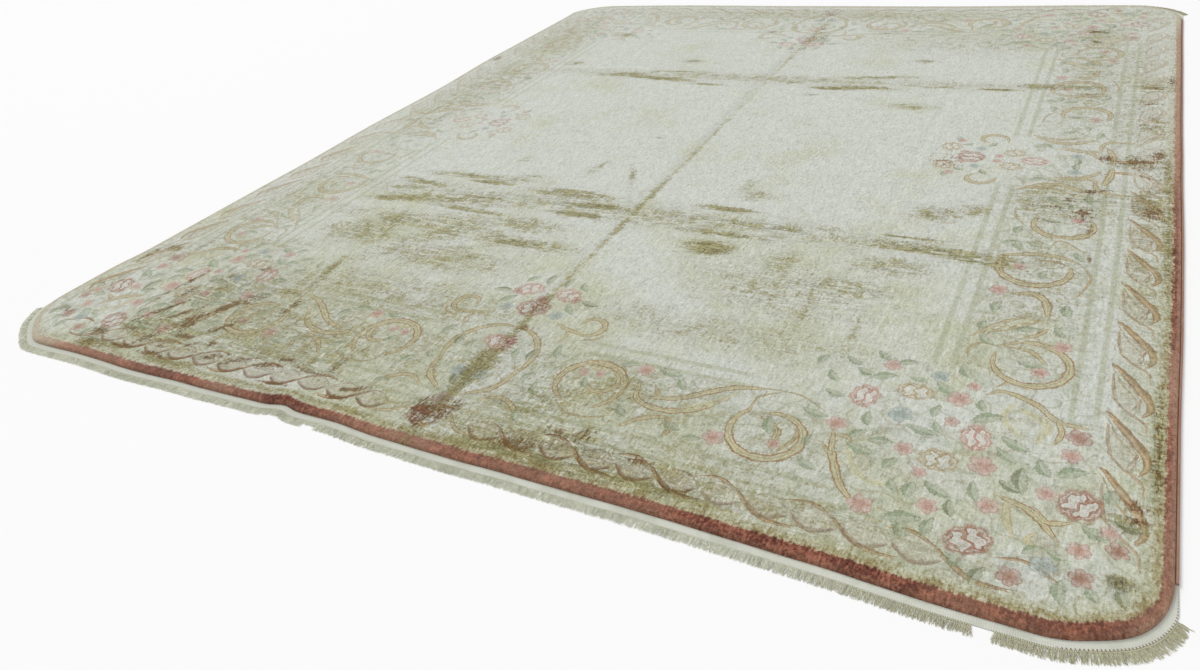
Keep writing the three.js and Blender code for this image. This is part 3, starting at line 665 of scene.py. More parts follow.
class Cloth:
    """The cloth's sizes in millimetres, and the places and heights of its points."""

    def __init__(self, sizes):
        self.width = sizes.cloth_width / MM
        self.length = sizes.cloth_length / MM
        self.pile = sizes.pile_height / MM
        self.web = sizes.end_web / MM
        self.web_thickness = sizes.web_thickness / MM
        self.radius = sizes.corner_radius / MM
        self.cord = sizes.cord_diameter / MM
        self.gap = sizes.sewing_gap / MM
        self.half_x = self.width / 2 - self.cord - self.gap
        self.half_y = self.length / 2 - self.web
        self.arc_x = self.half_x - self.radius
        self.arc_y = self.half_y - self.radius
        self.shift = np.zeros(2)
        self.shift = self.find_shift()

    def lie(self, x, y):
        """Where points of the straight, square cloth come to lie."""
        x, y = np.asarray(x, float), np.asarray(y, float)
        near_gap, far_gap = y + self.length / 2, self.length / 2 - y
        left_gap, right_gap = x + self.width / 2, self.width / 2 - x
        middle = np.cos(np.pi / self.width * np.clip(x, -self.width / 2, self.width / 2))
        askew = ASKEW_MIDDLE - ASKEW_ENDS * y / (self.length / 2)
        moved_x = x + askew * middle
        moved_x = moved_x - eased(STRAY["left"], y) * fade(left_gap, EDGE_FADE)
        moved_x = moved_x + eased(STRAY["right"], y) * fade(right_gap, EDGE_FADE)
        pulled = PUCKER["pull"] * bell(x - PUCKER["x"], PUCKER["half"])
        moved_y = y - eased(STRAY["near"], x) * fade(near_gap, EDGE_FADE)
        moved_y = moved_y + eased(STRAY["far"], x) * fade(far_gap, EDGE_FADE)
        moved_y = moved_y + pulled * fade(near_gap, PUCKER["reach"])
        return moved_x + self.shift[0], moved_y + self.shift[1]

    def find_shift(self):
        """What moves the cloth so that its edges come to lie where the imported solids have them."""
        path = self.end_path(self.web, SHIFT_STEP)
        rows = [self.lie(path[:, 0], side * path[:, 1]) for side in (-1, 1)]
        y = np.concatenate(rows, axis=1)[1]
        edge_y = np.linspace(-self.arc_y, self.arc_y, SHIFT_SAMPLES)
        sides = [self.lie(side * self.width / 2, edge_y)[0] for side in (-1, 1)]
        low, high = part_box("rug_cloth")
        cord_low, cord_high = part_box("side_cord_left")[0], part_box("side_cord_right")[1]
        middle_x = (cord_low.x + cord_high.x) / 2 / MM
        middle_y = (low.y + high.y) / 2 / MM
        return np.array([
            middle_x - (sides[0].min() + sides[1].max()) / 2,
            middle_y - (y.min() + y.max()) / 2,
        ])

    def fold_depth(self, fold, x, y):
        across, along = (x, y) if fold["run"] == "length" else (y, x)
        off = np.abs(across - fold["at"]) / fold["half"]
        trough = np.where(off < 1, 0.5 + 0.5 * np.cos(np.pi * off), 0)
        lip = FOLD_LIP * bell(off - FOLD_LIP_AT, FOLD_LIP_HALF)
        starts = ramp(along, fold["from"], fold["from"] + FOLD_END)
        ends = ramp(along, fold["to"], fold["to"] - FOLD_END)
        swell = 1 + FOLD_SWELL * np.sin(along / FOLD_SWELL_LENGTH + fold["at"])
        return fold["depth"] * starts * ends * swell * (trough - lip)

    def pile_top(self, x, y):
        top = np.full(np.shape(x), float(self.pile))
        for fold in FOLDS:
            top = top - self.fold_depth(fold, x, y)
        for row in HUMPS:
            hump = dict(zip(HUMP_COLUMNS, row))
            over_x = bell(x - hump["x"], hump["across_x"])
            over_y = bell(y - hump["y"], hump["across_y"])
            top = top + hump["height"] * over_x * over_y
        return top

    def inset(self, x, y):
        """How far a point lies inside the pile's rounded outline."""
        past_x, past_y = np.abs(x) - self.arc_x, np.abs(y) - self.arc_y
        corner = (past_x > 0) & (past_y > 0)
        straight = self.radius - np.maximum(past_x, past_y)
        return np.where(corner, self.radius - np.hypot(past_x, past_y), straight)

    def end_path(self, outside, step, whole=True):
        """Points at a distance outside the pile's near end, from the left side line to the right one. Where
        the distance would pass the side line, a whole path runs on along that line, and any other ends."""
        count = max(8, int(round(2 * self.arc_x / step)))
        straight = np.linspace(-self.arc_x, self.arc_x, count + 1)
        reach = self.width / 2 - self.arc_x
        last = math.pi / 2 if whole else math.asin(reach / (self.radius + outside))
        turns = np.linspace(0, last, max(6, int(round(self.radius * last / step))) + 1)[1:]
        radius = np.minimum(self.radius + outside, reach / np.sin(turns))
        arc_x, arc_y = self.arc_x + radius * np.sin(turns), self.arc_y + radius * np.cos(turns)
        middle = np.full(count + 1, self.arc_y + self.radius + outside)
        xs = np.concatenate([-arc_x[::-1], straight, arc_x])
        ys = np.concatenate([arc_y[::-1], middle, arc_y])
        return np.stack([xs, ys], axis=1)


def link(name, data):
    """An object of a mesh, a lamp or a camera, put into the scene."""
    piece = bpy.data.objects.new(name, data)
    bpy.context.scene.collection.objects.link(piece)
    return piece


def mesh_of(name, points, faces, material_slots=(), edges=()):
    """A mesh object from points in millimetres."""
    mesh = bpy.data.meshes.new(name)
    mesh.from_pydata((np.asarray(points) * MM).tolist(), edges, faces)
    for material in material_slots:
        mesh.materials.append(material)
    mesh.validate()
    mesh.update()
    return link(name, mesh)


def quads_of(index):
    """The four corners of each cell of a grid of point numbers."""
    corners = [index[:-1, :-1], index[:-1, 1:], index[1:, 1:], index[1:, :-1]]
    return np.stack(corners, axis=-1).reshape(-1, 4)


def rim_of(index):
    """The point numbers once round the rim of a grid."""
    return np.concatenate([index[0, :-1], index[:-1, -1], index[-1, :0:-1], index[:0:-1, 0]])


def walls_between(upper, lower):
    """The faces between two rims of equal count."""
    return np.stack([upper, lower, np.roll(lower, -1), np.roll(upper, -1)], axis=-1)


# The pile's grid

# The grid's steps, by the distance from the rug's middle lines, where it ends at the rim's own lines.
GRID_X = ((0, 250, 10), (250, 700, 20), (700, 820, 10), (820, None, 8.4))
GRID_Y = ((0, 200, 10), (200, 520, 22), (520, 800, 10), (800, 1060, 22), (1060, None, 8.4))
RIM_LINES = (0, 1.4, 3.2, 5.4, 8.6, 14)


def grid_lines(half, steps):
    """Places of the grid's lines from -half to half: close where there is fine design, and closest where the
    rim rolls over."""
    places = [0.0]
    for low, high, step in steps:
        high = half - RIM_LINES[-1] if high is None else high
        places += list(np.linspace(low, high, int(round((high - low) / step)) + 1)[1:])
    places += [half - line for line in RIM_LINES[-2::-1]]
    return np.concatenate([-np.array(places[:0:-1]), places])


def round_corners(cloth, x, y):
    """Carries the square grid onto the rounded outline: each corner square becomes a quarter disc."""
    a = (np.abs(x) - cloth.arc_x) / cloth.radius
    b = (np.abs(y) - cloth.arc_y) / cloth.radius
    corner = (a > 0) & (b > 0)
    a0, b0 = np.where(corner, a, 0), np.where(corner, b, 0)
    new_a = a0 * np.sqrt(1 - b0**2 / 2)
    new_b = b0 * np.sqrt(1 - a0**2 / 2)
    new_x = np.where(corner, np.sign(x) * (cloth.arc_x + cloth.radius * new_a), x)
    new_y = np.where(corner, np.sign(y) * (cloth.arc_y + cloth.radius * new_b), y)
    return new_x, new_y


# Motifs: which one covers each cell, and the motif's own coordinates at the cell's corners

NOWHERE = (9.0, 9.0, 0.0)
CELL_MARGIN = 9

# A band's half width swells from its tips to its middle: its share at the tips, how full the swell is, and
# the end of the run over which it stays as at the tips.
BAND_TIP = 0.3
BAND_FULLNESS = 0.6
BAND_END = 0.02


class Layer:
    """One layer of the design. shape holds two coordinates and a kind for each corner of each cell, and dye
    the motif's colour."""

    def __init__(self, corners):
        self.corners = corners
        self.centres = corners.mean(axis=1)
        cells = len(corners)
        self.nearest = np.full(cells, np.inf)
        self.shape = np.tile(np.array(NOWHERE), (cells, 4, 1))
        self.dye = np.zeros((cells, 4, 3))

    def cells_near(self, low, high):
        x, y = self.centres[:, 0], self.centres[:, 1]
        inside = (x > low[0]) & (x < high[0]) & (y > low[1]) & (y < high[1])
        return np.nonzero(inside)[0]

    def claim(self, cells, distance, shape_of, kind, dye):
        """Gives cells to a motif where it lies nearer than what is there already."""
        won = (distance < CELL_MARGIN) & (distance < self.nearest[cells])
        taken = cells[won]
        if not len(taken):
            return
        self.nearest[taken] = distance[won]
        first, second = shape_of(self.corners[taken].reshape(-1, 2))
        self.shape[taken, :, :2] = np.stack([first, second], axis=-1).reshape(-1, 4, 2)
        self.shape[taken, :, 2] = kind
        self.dye[taken] = dye

    def put_flat(self, place, half, turn, kind, dye):
        """A motif with straight axes of its own, such as a flower or a leaf."""
        cosine, sine = math.cos(turn), math.sin(turn)
        reach = max(half) + 2 * CELL_MARGIN

        def local(points):
            offset = points - place
            along = (offset[:, 0] * cosine + offset[:, 1] * sine) / half[0]
            across = (-offset[:, 0] * sine + offset[:, 1] * cosine) / half[1]
            return along, across

        cells = self.cells_near(place - reach, place + reach)
        along, across = local(self.centres[cells])
        distance = (np.hypot(along, across) - 1) * min(half)
        self.claim(cells, distance, local, kind, dye)

    def put_band(self, spine, half, kind, dye):
        """A band that follows a spine. Its coordinates are the share along it and the signed distance
        across it in half widths."""
        starts, steps = spine[:-1], np.diff(spine, axis=0)
        lengths = np.hypot(*steps.T)
        run = run_of(spine)

        def measure(points):
            offset = points[:, None, :] - starts[None]
            share = np.clip((offset * steps).sum(-1) / lengths**2, 0, 1)
            gap = offset - share[..., None] * steps
            far = np.hypot(gap[..., 0], gap[..., 1])
            best = far.argmin(axis=1)
            rows = np.arange(len(points))
            side = np.sign(steps[best, 0] * gap[rows, best, 1] - steps[best, 1] * gap[rows, best, 0])
            along = run[best] + share[rows, best] * lengths[best]
            return along * MM, far[rows, best] * np.where(side == 0, 1, side)

        def half_at(along):
            share = np.clip(along / (run[-1] * MM), BAND_END, 1 - BAND_END)
            return half * (BAND_TIP + (1 - BAND_TIP) * np.sin(np.pi * share) ** BAND_FULLNESS)

        def local(points):
            along, offset = measure(points)
            return along, offset / half_at(along)

        reach = half + 2 * CELL_MARGIN
        cells = self.cells_near(spine.min(axis=0) - reach, spine.max(axis=0) + reach)
        if not len(cells):
            return
        along, offset = measure(self.centres[cells])
        self.claim(cells, np.abs(offset) - half_at(along), local, kind, dye)


QUARTERS = [(1, -1), (-1, -1), (1, 1), (-1, 1)]
BLOSSOM, ROSE = 0.0, 1.0
LEAF, EYE = 0.0, 1.0
BAND_KINDS = {"scroll": 1.46, "cream": 1.0, "peach": 1.0, "acanthus": 2.0}
SPINE_STEPS = 8
VOLUTE_STEPS = 36
DARKER = {"brown": "umber", "ribbon": "umber", "cream": "umber"}
RIBBON_REACH = 1660


def curve_through(places):
    """A smooth line through a few places."""
    knots = np.array(places, float)
    padded = np.vstack([2 * knots[0] - knots[1], knots, 2 * knots[-1] - knots[-2]])
    line = []
    for a, b, c, d in zip(padded, padded[1:], padded[2:], padded[3:]):
        square, cube = 2 * a - 5 * b + 4 * c - d, 3 * b - 3 * c + d - a
        for t in np.arange(SPINE_STEPS) / SPINE_STEPS:
            line.append(0.5 * (2 * b + (c - a) * t + square * t**2 + cube * t**3))
    return np.vstack([line, knots[-1]])


def volute_spine(row):
    """A spiral about its eye, with the radius changing evenly along the turn."""
    turns = abs(row["last_angle"] - row["first_angle"]) / 360
    t = np.linspace(0, 1, int(VOLUTE_STEPS * turns) + 4)
    angle = np.radians(row["first_angle"] + (row["last_angle"] - row["first_angle"]) * t)
    radius = row["first_radius"] + (row["last_radius"] - row["first_radius"]) * t
    return np.stack([row["x"] + radius * np.cos(angle), row["y"] + radius * np.sin(angle)], axis=1)


def ribbon_pieces(cloth):
    """The bands of the twisted ribbon in one quarter, and its eyes as place, half sizes, turn and dye."""
    bands, eyes = [], []
    for ribbon, at_end in ((RIBBON_END, True), (RIBBON_SIDE, False)):
        edge = cloth.half_y if at_end else cloth.half_x
        first, last = ribbon["shown"]
        for turn in ribbon["turns"]:
            start = ribbon["from"] + turn * ribbon["pitch"]
            for places, half, dye in ribbon["bands"]:
                line = [(start + along, edge - off) for along, off in places]
                if line[0][0] > first:
                    line = line if at_end else [place[::-1] for place in line]
                    bands.append((curve_through(line), half, dye))
            for along, off, half_along, half_off, angle in ribbon["eyes"]:
                place = (start + along, edge - off)
                if first < place[0] < last:
                    place = place if at_end else place[::-1]
                    eyes.append((place, (half_along, half_off), math.radians(angle), ribbon["eye_dye"]))
    return bands, eyes


def kept_dye(dye, place):
    """The dye of a ribbon's piece: darker where the near end's ribbon has kept its brown."""
    x, y = place
    dark = y < -RIBBON_REACH and any(low < x < high for low, high in DARK_RIBBON)
    return DARKER.get(dye, dye) if dark else dye


def lay_design(cloth, corners, dyes):
    """The three layers of the design over the cells of the pile."""
    bands, leaves, flowers = Layer(corners), Layer(corners), Layer(corners)
    volutes = [dict(zip(VOLUTE_COLUMNS, row)) for row in VOLUTES]
    band_rows = [(volute_spine(row), row["half"], row["dye"]) for row in volutes]
    band_rows += [(curve_through(places), half, dye) for places, half, dye in SPRAYS]
    ribbon_bands, eyes = ribbon_pieces(cloth)
    for flip in QUARTERS:
        flip = np.array(flip, float)
        turned = flip[0] * flip[1]
        for spine, half, dye in band_rows:
            bands.put_band(spine * flip, half, BAND_KINDS.get(dye, 0.0), dyes[dye])
        for spine, half, dye in ribbon_bands:
            bands.put_band(spine * flip, half, 0.0, dyes[kept_dye(dye, spine[0] * flip)])
        half_turn = math.pi if flip[0] < 0 else 0
        for x, y, length, wide, heading, dye in LEAVES:
            turn = math.radians(heading) * turned + half_turn
            leaves.put_flat((x, y) * flip, (length / 2, wide / 2), turn, LEAF, dyes[dye])
        for place, half, angle, dye in eyes:
            place = place * flip
            leaves.put_flat(place, half, angle * turned, EYE, dyes[kept_dye(dye, place)])
        for x, y, across, turn, dye in BLOSSOMS:
            half = (across / 2, across / 2)
            flowers.put_flat((x, y) * flip, half, math.radians(turn) * turned, BLOSSOM, dyes[dye])
        for x, y, half_x, half_y, turn, dye in ROSES:
            half = (half_x, half_y)
            flowers.put_flat((x, y) * flip, half, math.radians(turn) * turned, ROSE, dyes[dye])
    return bands, leaves, flowers


def wear_at(x, y):
    """How much olive, brown and dark red lies at each point: soiling, and painted shade in the olive."""
    stains = np.zeros((3,) + np.shape(x))
    for patch_x, patch_y, reach_along, reach_across, turn, *amounts in WEAR_AND_SHADE:
        cosine, sine = math.cos(math.radians(turn)), math.sin(math.radians(turn))
        dx, dy = x - patch_x, y - patch_y
        along = (dx * cosine + dy * sine) / reach_along
        across = (-dx * sine + dy * cosine) / reach_across
        cover = np.exp(-((along**2 + across**2) ** WEAR_AND_SHADE_FALL))
        for stain, amount in zip(stains, amounts):
            np.maximum(stain, amount * cover, out=stain)
    return stains


def strength_at(x, y):
    """How strongly the design still shows."""
    outer = ramp(np.abs(x), *OUTER_FADES) * ramp(y, *OUTER_STARTS)
    kept = 1 - NEAR_KEEPS * ramp(y, *NEAR_FADES)
    strength = 1 - (1 - STRENGTH_LEFT) * ramp(x, *LEFT_FADES) * kept
    strength = strength * (1 - (1 - STRENGTH_FAR) * ramp(y, *FAR_FADES))
    return strength * (1 - (1 - STRENGTH_OUTER) * outer)


def edge_depth_at(cloth, x, y):
    """How deep the red of the edge band still is. Round a corner one edge's values go over into the next."""
    side = np.where(x > 0, eased(EDGE_DEPTH["right"], y), eased(EDGE_DEPTH["left"], y))
    end = np.where(y > 0, eased(EDGE_DEPTH["far"], x), eased(EDGE_DEPTH["near"], x))
    side_gap, end_gap = cloth.half_x - np.abs(x) + 1, cloth.half_y - np.abs(y) + 1
    share = smooth(end_gap / (side_gap + end_gap))
    return side * share + end * (1 - share)


def filling_at(cloth, x, y):
    """Where the border and the corner sprays have small filling leaves between their motifs."""
    gap = np.minimum(cloth.half_x - np.abs(x), cloth.half_y - np.abs(y))
    border = ramp(gap, *FILLING_OUTER) * ramp(gap, *FILLING_INNER)
    corner = ramp(np.abs(x), *FILLING_CORNER_X) * ramp(np.abs(y), *FILLING_CORNER_Y)
    return np.maximum(border, corner)


# Materials


class Number:
    """A number that varies over a surface, so that shader maths reads as an expression."""

    def __init__(self, finish, socket):
        self.finish = finish
        self.socket = socket

    def maths(self, operation, *others):
        values = {str(i): other for i, other in enumerate((self, *others))}
        return self.finish.number("Math", {"operation": operation}, values)

    def __add__(self, other):
        return self.maths("ADD", other)

    __radd__ = __add__

    def __sub__(self, other):
        return self.maths("SUBTRACT", other)

    def __rsub__(self, other):
        return self.finish.number("Math", {"operation": "SUBTRACT"}, {"0": other, "1": self})

    def __mul__(self, other):
        return self.maths("MULTIPLY", other)

    def __truediv__(self, other):
        return self.maths("DIVIDE", other)

    def __abs__(self):
        return self.maths("ABSOLUTE")

    def wave(self):
        return self.maths("SINE")

    def clamp(self):
        return self.finish.number("Clamp", {}, {"Value": self})


class Finish:
    """A material and the nodes that make it."""

    def __init__(self, name, **constants):
        self.material = bpy.data.materials.new(name)
        self.material.use_nodes = True
        self.tree = self.material.node_tree
        self.tree.nodes.clear()
        self.shader = self.add("BsdfPrincipled", {}, constants)
        output = self.add("OutputMaterial")
        self.tree.links.new(self.shader.outputs[0], output.inputs[0])

    def feed(self, socket, value):
        if isinstance(value, Number):
            self.tree.links.new(value.socket, socket)
        elif isinstance(value, bpy.types.NodeSocket):
            self.tree.links.new(value, socket)
        elif isinstance(value, tuple) and socket.type == "RGBA" and len(value) == 3:
            socket.default_value = (*value, 1)
        else:
            socket.default_value = value

    def add(self, kind, settings=None, sockets=None):
        """A node of a type, with its settings and then the values or links of its sockets. A socket goes by
        its name, its identifier or its place."""
        node = self.tree.nodes.new("ShaderNode" + kind)
        for key, value in (settings or {}).items():
            setattr(node, key, value)
        for key, value in (sockets or {}).items():
            key = key.replace("_", " ") if kind == "BsdfPrincipled" else key
            match = [s for s in node.inputs if key in (s.name, s.identifier)]
            self.feed(match[0] if match else node.inputs[int(key)], value)
        return node

    def number(self, kind, settings, sockets, output=0):
        return Number(self, self.add(kind, settings, sockets).outputs[output])

    def attribute(self, name):
        return self.add("Attribute", {"attribute_name": name}).outputs["Vector"]

    def parts(self, vector):
        """The three numbers of a vector."""
        node = self.add("SeparateXYZ", {}, {"Vector": vector})
        return [Number(self, socket) for socket in node.outputs]

    def place(self):
        return self.add("TexCoord").outputs["Object"]

    def step(self, value, low, high, first=0.0, last=1.0):
        """Eases from first to last as the value goes from low to high."""
        sockets = {"Value": value, "From Min": low, "From Max": high, "To Min": first, "To Max": last}
        return self.number("MapRange", {"interpolation_type": "SMOOTHSTEP"}, sockets)

    def below(self, value, low, high, most=1.0):
        """Full where the value is below low, and nothing above high."""
        return self.step(value, low, high, most, 0.0)

    def line(self, value, inner, outer, most=1.0):
        """A line along the places where the value is nothing: full out to inner, and gone at outer."""
        return self.below(abs(value), inner, outer, most)

    def noise(self, scale, stretch=(1, 1, 1), detail=3.0, roughness=0.55, shift=(0, 0, 0)):
        """Cloudy noise from 0 to 1. scale is in waves for each metre."""
        mapping = self.add("Mapping", {}, {"Vector": self.place(), "Scale": stretch, "Location": shift})
        sockets = {"Vector": mapping.outputs[0], "Scale": scale, "Detail": detail, "Roughness": roughness}
        return self.number("TexNoise", {}, sockets)

    def mix(self, mask, under, over, blend="MIX"):
        settings = {"data_type": "RGBA", "blend_type": blend}
        node = self.add("Mix", settings, {"Factor_Float": mask, "A_Color": under, "B_Color": over})
        return next(socket for socket in node.outputs if socket.identifier == "Result_Color")

    def bump(self, height, distance, strength=1.0, normal=None):
        sockets = {"Height": height, "Distance": distance, "Strength": strength}
        if normal is not None:
            sockets["Normal"] = normal
        return self.add("Bump", {}, sockets).outputs[0]

    def set(self, **sockets):
        for key, value in sockets.items():
            self.feed(self.shader.inputs[key.replace("_", " ")], value)
        return self.material


def polar(x, y):
    """Distance and direction from a motif's middle."""
    return (x * x + y * y).maths("SQRT"), y.maths("ARCTAN2", x)


PETALS = 5
ROSE_SCALLOPS = 8
EYE_PETALS = 6


def draw_blossom(f, x, y):
    """Masks of a five-petalled flower: its whole, its darker lines, and its pale petals."""
    reach, angle = polar(x, y)
    lobes = abs((angle * (PETALS / 2)).maths("COSINE"))
    edge = 0.58 + lobes.maths("POWER", 0.5) * 0.38
    whole = f.step(edge - reach, -0.05, 0.09)
    notch = f.below(lobes, 0.08, 0.4) * f.step(reach, 0.2, 0.4)
    eye = f.below(reach, 0.1, 0.26)
    border = f.below(edge - reach, 0.05, 0.2, 0.6)
    line = (notch * 0.6 + eye * 0.9 + border).clamp()
    pale = f.step(reach, 0.3, 0.7, 0.0, 0.8) * (1 - notch) * (1 - border)
    return whole, line, pale


def draw_rose(f, x, y):
    """The same three masks for a full rose: a scalloped ring around two long wavy petals."""
    reach, angle = polar(x, y)
    edge = 0.84 + abs((angle * (ROSE_SCALLOPS / 2)).wave()) * 0.14
    whole = f.step(edge - reach, -0.12, 0.14)
    sway = (y * 9 + 0.8).wave() * 0.08
    aside = (abs(x + sway) - 0.3) * 4.0
    petal = (aside * aside + y * y * 2.2).maths("SQRT")
    inside = f.below(petal, 0.86, 1.0)
    vein = f.line(petal - 0.5, 0.04, 0.16) * 0.3
    outline = f.line(petal - 1.04, 0.05, 0.2)
    gap = f.line(reach / edge - 0.78, 0.02, 0.08) * (1 - outline) * 0.7
    pale = (inside * (1 - vein) + gap * (1 - inside)).clamp()
    line = (outline + f.step(reach / edge, 0.82, 0.98, 0.0, 0.4)).clamp() * (1 - inside)
    return whole, line, pale


def draw_eye(f, x, y, outward, wobble):
    """Masks of a ribbon's eye: its pointed whole, its dark outline, which is broad along its outer side,
    and the flower in its middle."""
    inward = (1 - x * x) * 0.98 - abs(y) + wobble * 0.4
    whole = f.step(inward, -0.04, 0.06)
    outer = f.step(outward, -0.05, 0.3)
    ring = f.line(inward - 0.08, 0.03, 0.12, 0.55) * (1 + outer * 0.7)
    crescent = f.below(inward, 0.16, 0.5) * outer
    reach, angle = polar(x * 1.5, y)
    petals = abs((angle * (EYE_PETALS / 2)).wave())
    heart = f.line(reach - petals * 0.3 - 0.2, 0.05, 0.2, 0.6)
    return whole, ring.maths("MAXIMUM", crescent), heart


# The noises of the pile, in waves for each metre, and stretched along or across the rug where they follow
# its rows of knots or the lie of its nap.
PILE_NOISES = {
    "grain": {"scale": 430, "detail": 1.0},
    "tuft": {"scale": 150, "detail": 2.0},
    "curl": {"scale": 70, "detail": 2.0},
    "fibre": {"scale": 60, "stretch": (4, 1, 1), "detail": 3.0, "roughness": 0.6},
    "mottle": {"scale": 26, "detail": 4.0, "roughness": 0.62},
    "cloud": {"scale": 3.4, "detail": 4.0, "roughness": 0.6},
    "streak": {"scale": 10, "stretch": (1, 6, 1), "detail": 5.0, "roughness": 0.7},
    "nap": {"scale": 24, "stretch": (5, 1, 1), "detail": 4.0, "roughness": 0.65, "shift": (3, 1, 0)},
    "sprig": {"scale": 15, "detail": 1.0, "roughness": 0.4},
    "foliage": {"scale": 34, "detail": 1.0, "roughness": 0.5, "shift": (7, 2, 0)},
}


class PileFinish:
    """Worn, silky pile: ivory with the design drawn from the motifs' coordinates, then edge band, wear and
    painted shade.
    """

    def __init__(self, cloth, colours):
        f = self.finish = Finish(
            "faded_pile", Roughness=0.8, Sheen_Weight=0.05, Sheen_Roughness=0.5, Specular_IOR_Level=0.12)
        self.colours = colours
        self.noises = {name: f.noise(**settings) for name, settings in PILE_NOISES.items()}
        x, y, self.inset = f.parts(f.attribute("plan"))
        # The wear attribute: olive, brown and dark red soiling, with painted crease shade in the olive.
        self.olive, self.brown, self.red = f.parts(f.attribute("wear"))
        strength, self.depth, self.filling = f.parts(f.attribute("state"))
        self.x, self.y = x, y
        self.side_gap, self.end_gap = cloth.half_x * MM - abs(x), cloth.half_y * MM - abs(y)
        self.at_end = f.step(self.side_gap - self.end_gap, -0.06, 0.06)
        self.outward = f.step(y, -0.1, 0.1, -1.0, 1.0)
        self.wobble = self.sway(curl=0.6, tuft=0.4)
        self.rubbed = strength * f.step(self.blend(mottle=0.4, nap=0.3, tuft=0.3), 0.36, 0.56, 0.6, 1.0)
        self.rough = f.step(self.blend(streak=0.33, mottle=0.34, nap=0.13, tuft=0.2), 0.42, 0.58)
        across = f.line(self.sway(streak=1), 0.004, 0.026)
        along = f.line(self.sway(nap=1), 0.004, 0.03) * f.below(y, -1.3, -0.9, 0.8)
        self.cracks = across.maths("MAXIMUM", along)

    def tone(self, name):
        return tuple(getattr(self.colours, name))

    def blend(self, **shares):
        """A mixture of the noises, by the share of each."""
        first, *others = [self.noises[name] * share for name, share in shares.items()]
        return sum(others, first)

    def sway(self, **shares):
        """A mixture of the noises that goes as far below nothing as above it."""
        return self.blend(**shares) - sum(shares.values()) / 2

    def ground(self):
        """Ivory, yellowed in clouds, with a painted highlight where the nap catches the light, and small
        leaves and twigs between the border's motifs.
        """
        f = self.finish
        nearness = f.step(self.y, -1.4, -0.3, 0.07, -0.03)
        yellowed = f.step(self.blend(cloud=0.7, mottle=0.3) + nearness, 0.44, 0.7)
        colour = f.mix(yellowed, self.tone("ivory"), self.tone("straw"))
        # Painted highlight where the nap catches the light.
        colour = f.mix(f.step(self.noises["nap"], 0.5, 0.75, 0.0, 0.6), colour, self.tone("chalk"))
        shown = self.filling * self.rubbed
        twigs = f.line(self.sway(sprig=1), 0.012, 0.035)
        tufts = f.step(self.noises["foliage"] + self.wobble * 0.3, 0.56, 0.64)
        colour = f.mix(tufts * shown * 0.3, colour, self.tone("leaf"))
        return f.mix(twigs * shown * 0.4, colour, self.tone("thread"))

    def guards(self, colour):
        """The pairs of pale stripes along the border."""
        f = self.finish
        stripes = []
        for guard in GUARDS:
            opening = guard["gap"] * MM
            at_sides = (self.side_gap, abs(self.y), guard["end_y"] * MM, (0.8, 1))
            at_ends = (self.end_gap, abs(self.x), guard["end_x"] * MM, (1, 1.2))
            for gap, along, last, opens in (at_sides, at_ends):
                run = f.below(along, last - 0.05, last)
                if opening:
                    run = run * f.step(along, *(opening * share for share in opens))
                for low, high in guard["stripes"]:
                    middle, half = (low + high) / 2 * MM, (high - low) / 2 * MM
                    stripes.append(f.line(gap - middle, half - 0.003, half + 0.003) * run)
        lines = stripes[0]
        for stripe in stripes[1:]:
            lines = lines.maths("MAXIMUM", stripe)
        worn = f.step(self.blend(mottle=0.4, nap=0.3, fibre=0.3), 0.4, 0.58, 0.5, 1.0)
        return f.mix(lines * self.rubbed * worn * 0.75, colour, self.tone("guard"))

    def bands(self, colour):
        """Scrolls, sprays and the ribbon: plain bands, bands with a drawn rim, and those with lobes too."""
        f = self.finish
        along, off, kind = f.parts(f.attribute("band_shape"))
        dye = f.attribute("band_dye")
        edged = f.step(kind, 0.4, 0.6)
        lobed = f.step(kind, 1.4, 1.6)
        lobes = abs((along * 66 + abs(off) * 0.9).wave())
        outward = abs(off) + self.wobble * 0.8 + (1 - lobes) * (lobed * 0.4 + 0.12)
        body = f.below(outward, 0.9, 1.04)
        rim = f.step(outward, 0.56, 0.78)
        ridges = f.line((off * 5.2 + (along * 90).wave() * 0.7).wave(), 0.5, 0.9, 0.8) * lobed
        rib = f.line(off - 0.1, 0.04, 0.14, 0.45)
        lit = f.line(off + 0.2 + (along * 70).wave() * 0.2, 0.1, 0.6, 0.75)
        streaky = f.step(self.blend(streak=0.5, mottle=0.5), 0.48, 0.62, 0.0, 0.5)
        plain = f.mix(lit + streaky, dye, self.tone("peach"))
        drawn = f.mix((rim + rib + ridges).clamp(), self.tone("scroll_fill"), dye)
        teeth = (along * 230 + abs(off) * 1.6).wave()
        tongues = f.line(teeth - 0.3, 0.1, 0.45) * f.line(off, 0.95, 1.5)
        colour = f.mix(tongues * edged * self.rubbed * 0.75, colour, f.mix(0.5, self.tone("leaf"), dye))
        return f.mix(body * self.rubbed * 0.97, colour, f.mix(edged, plain, drawn))

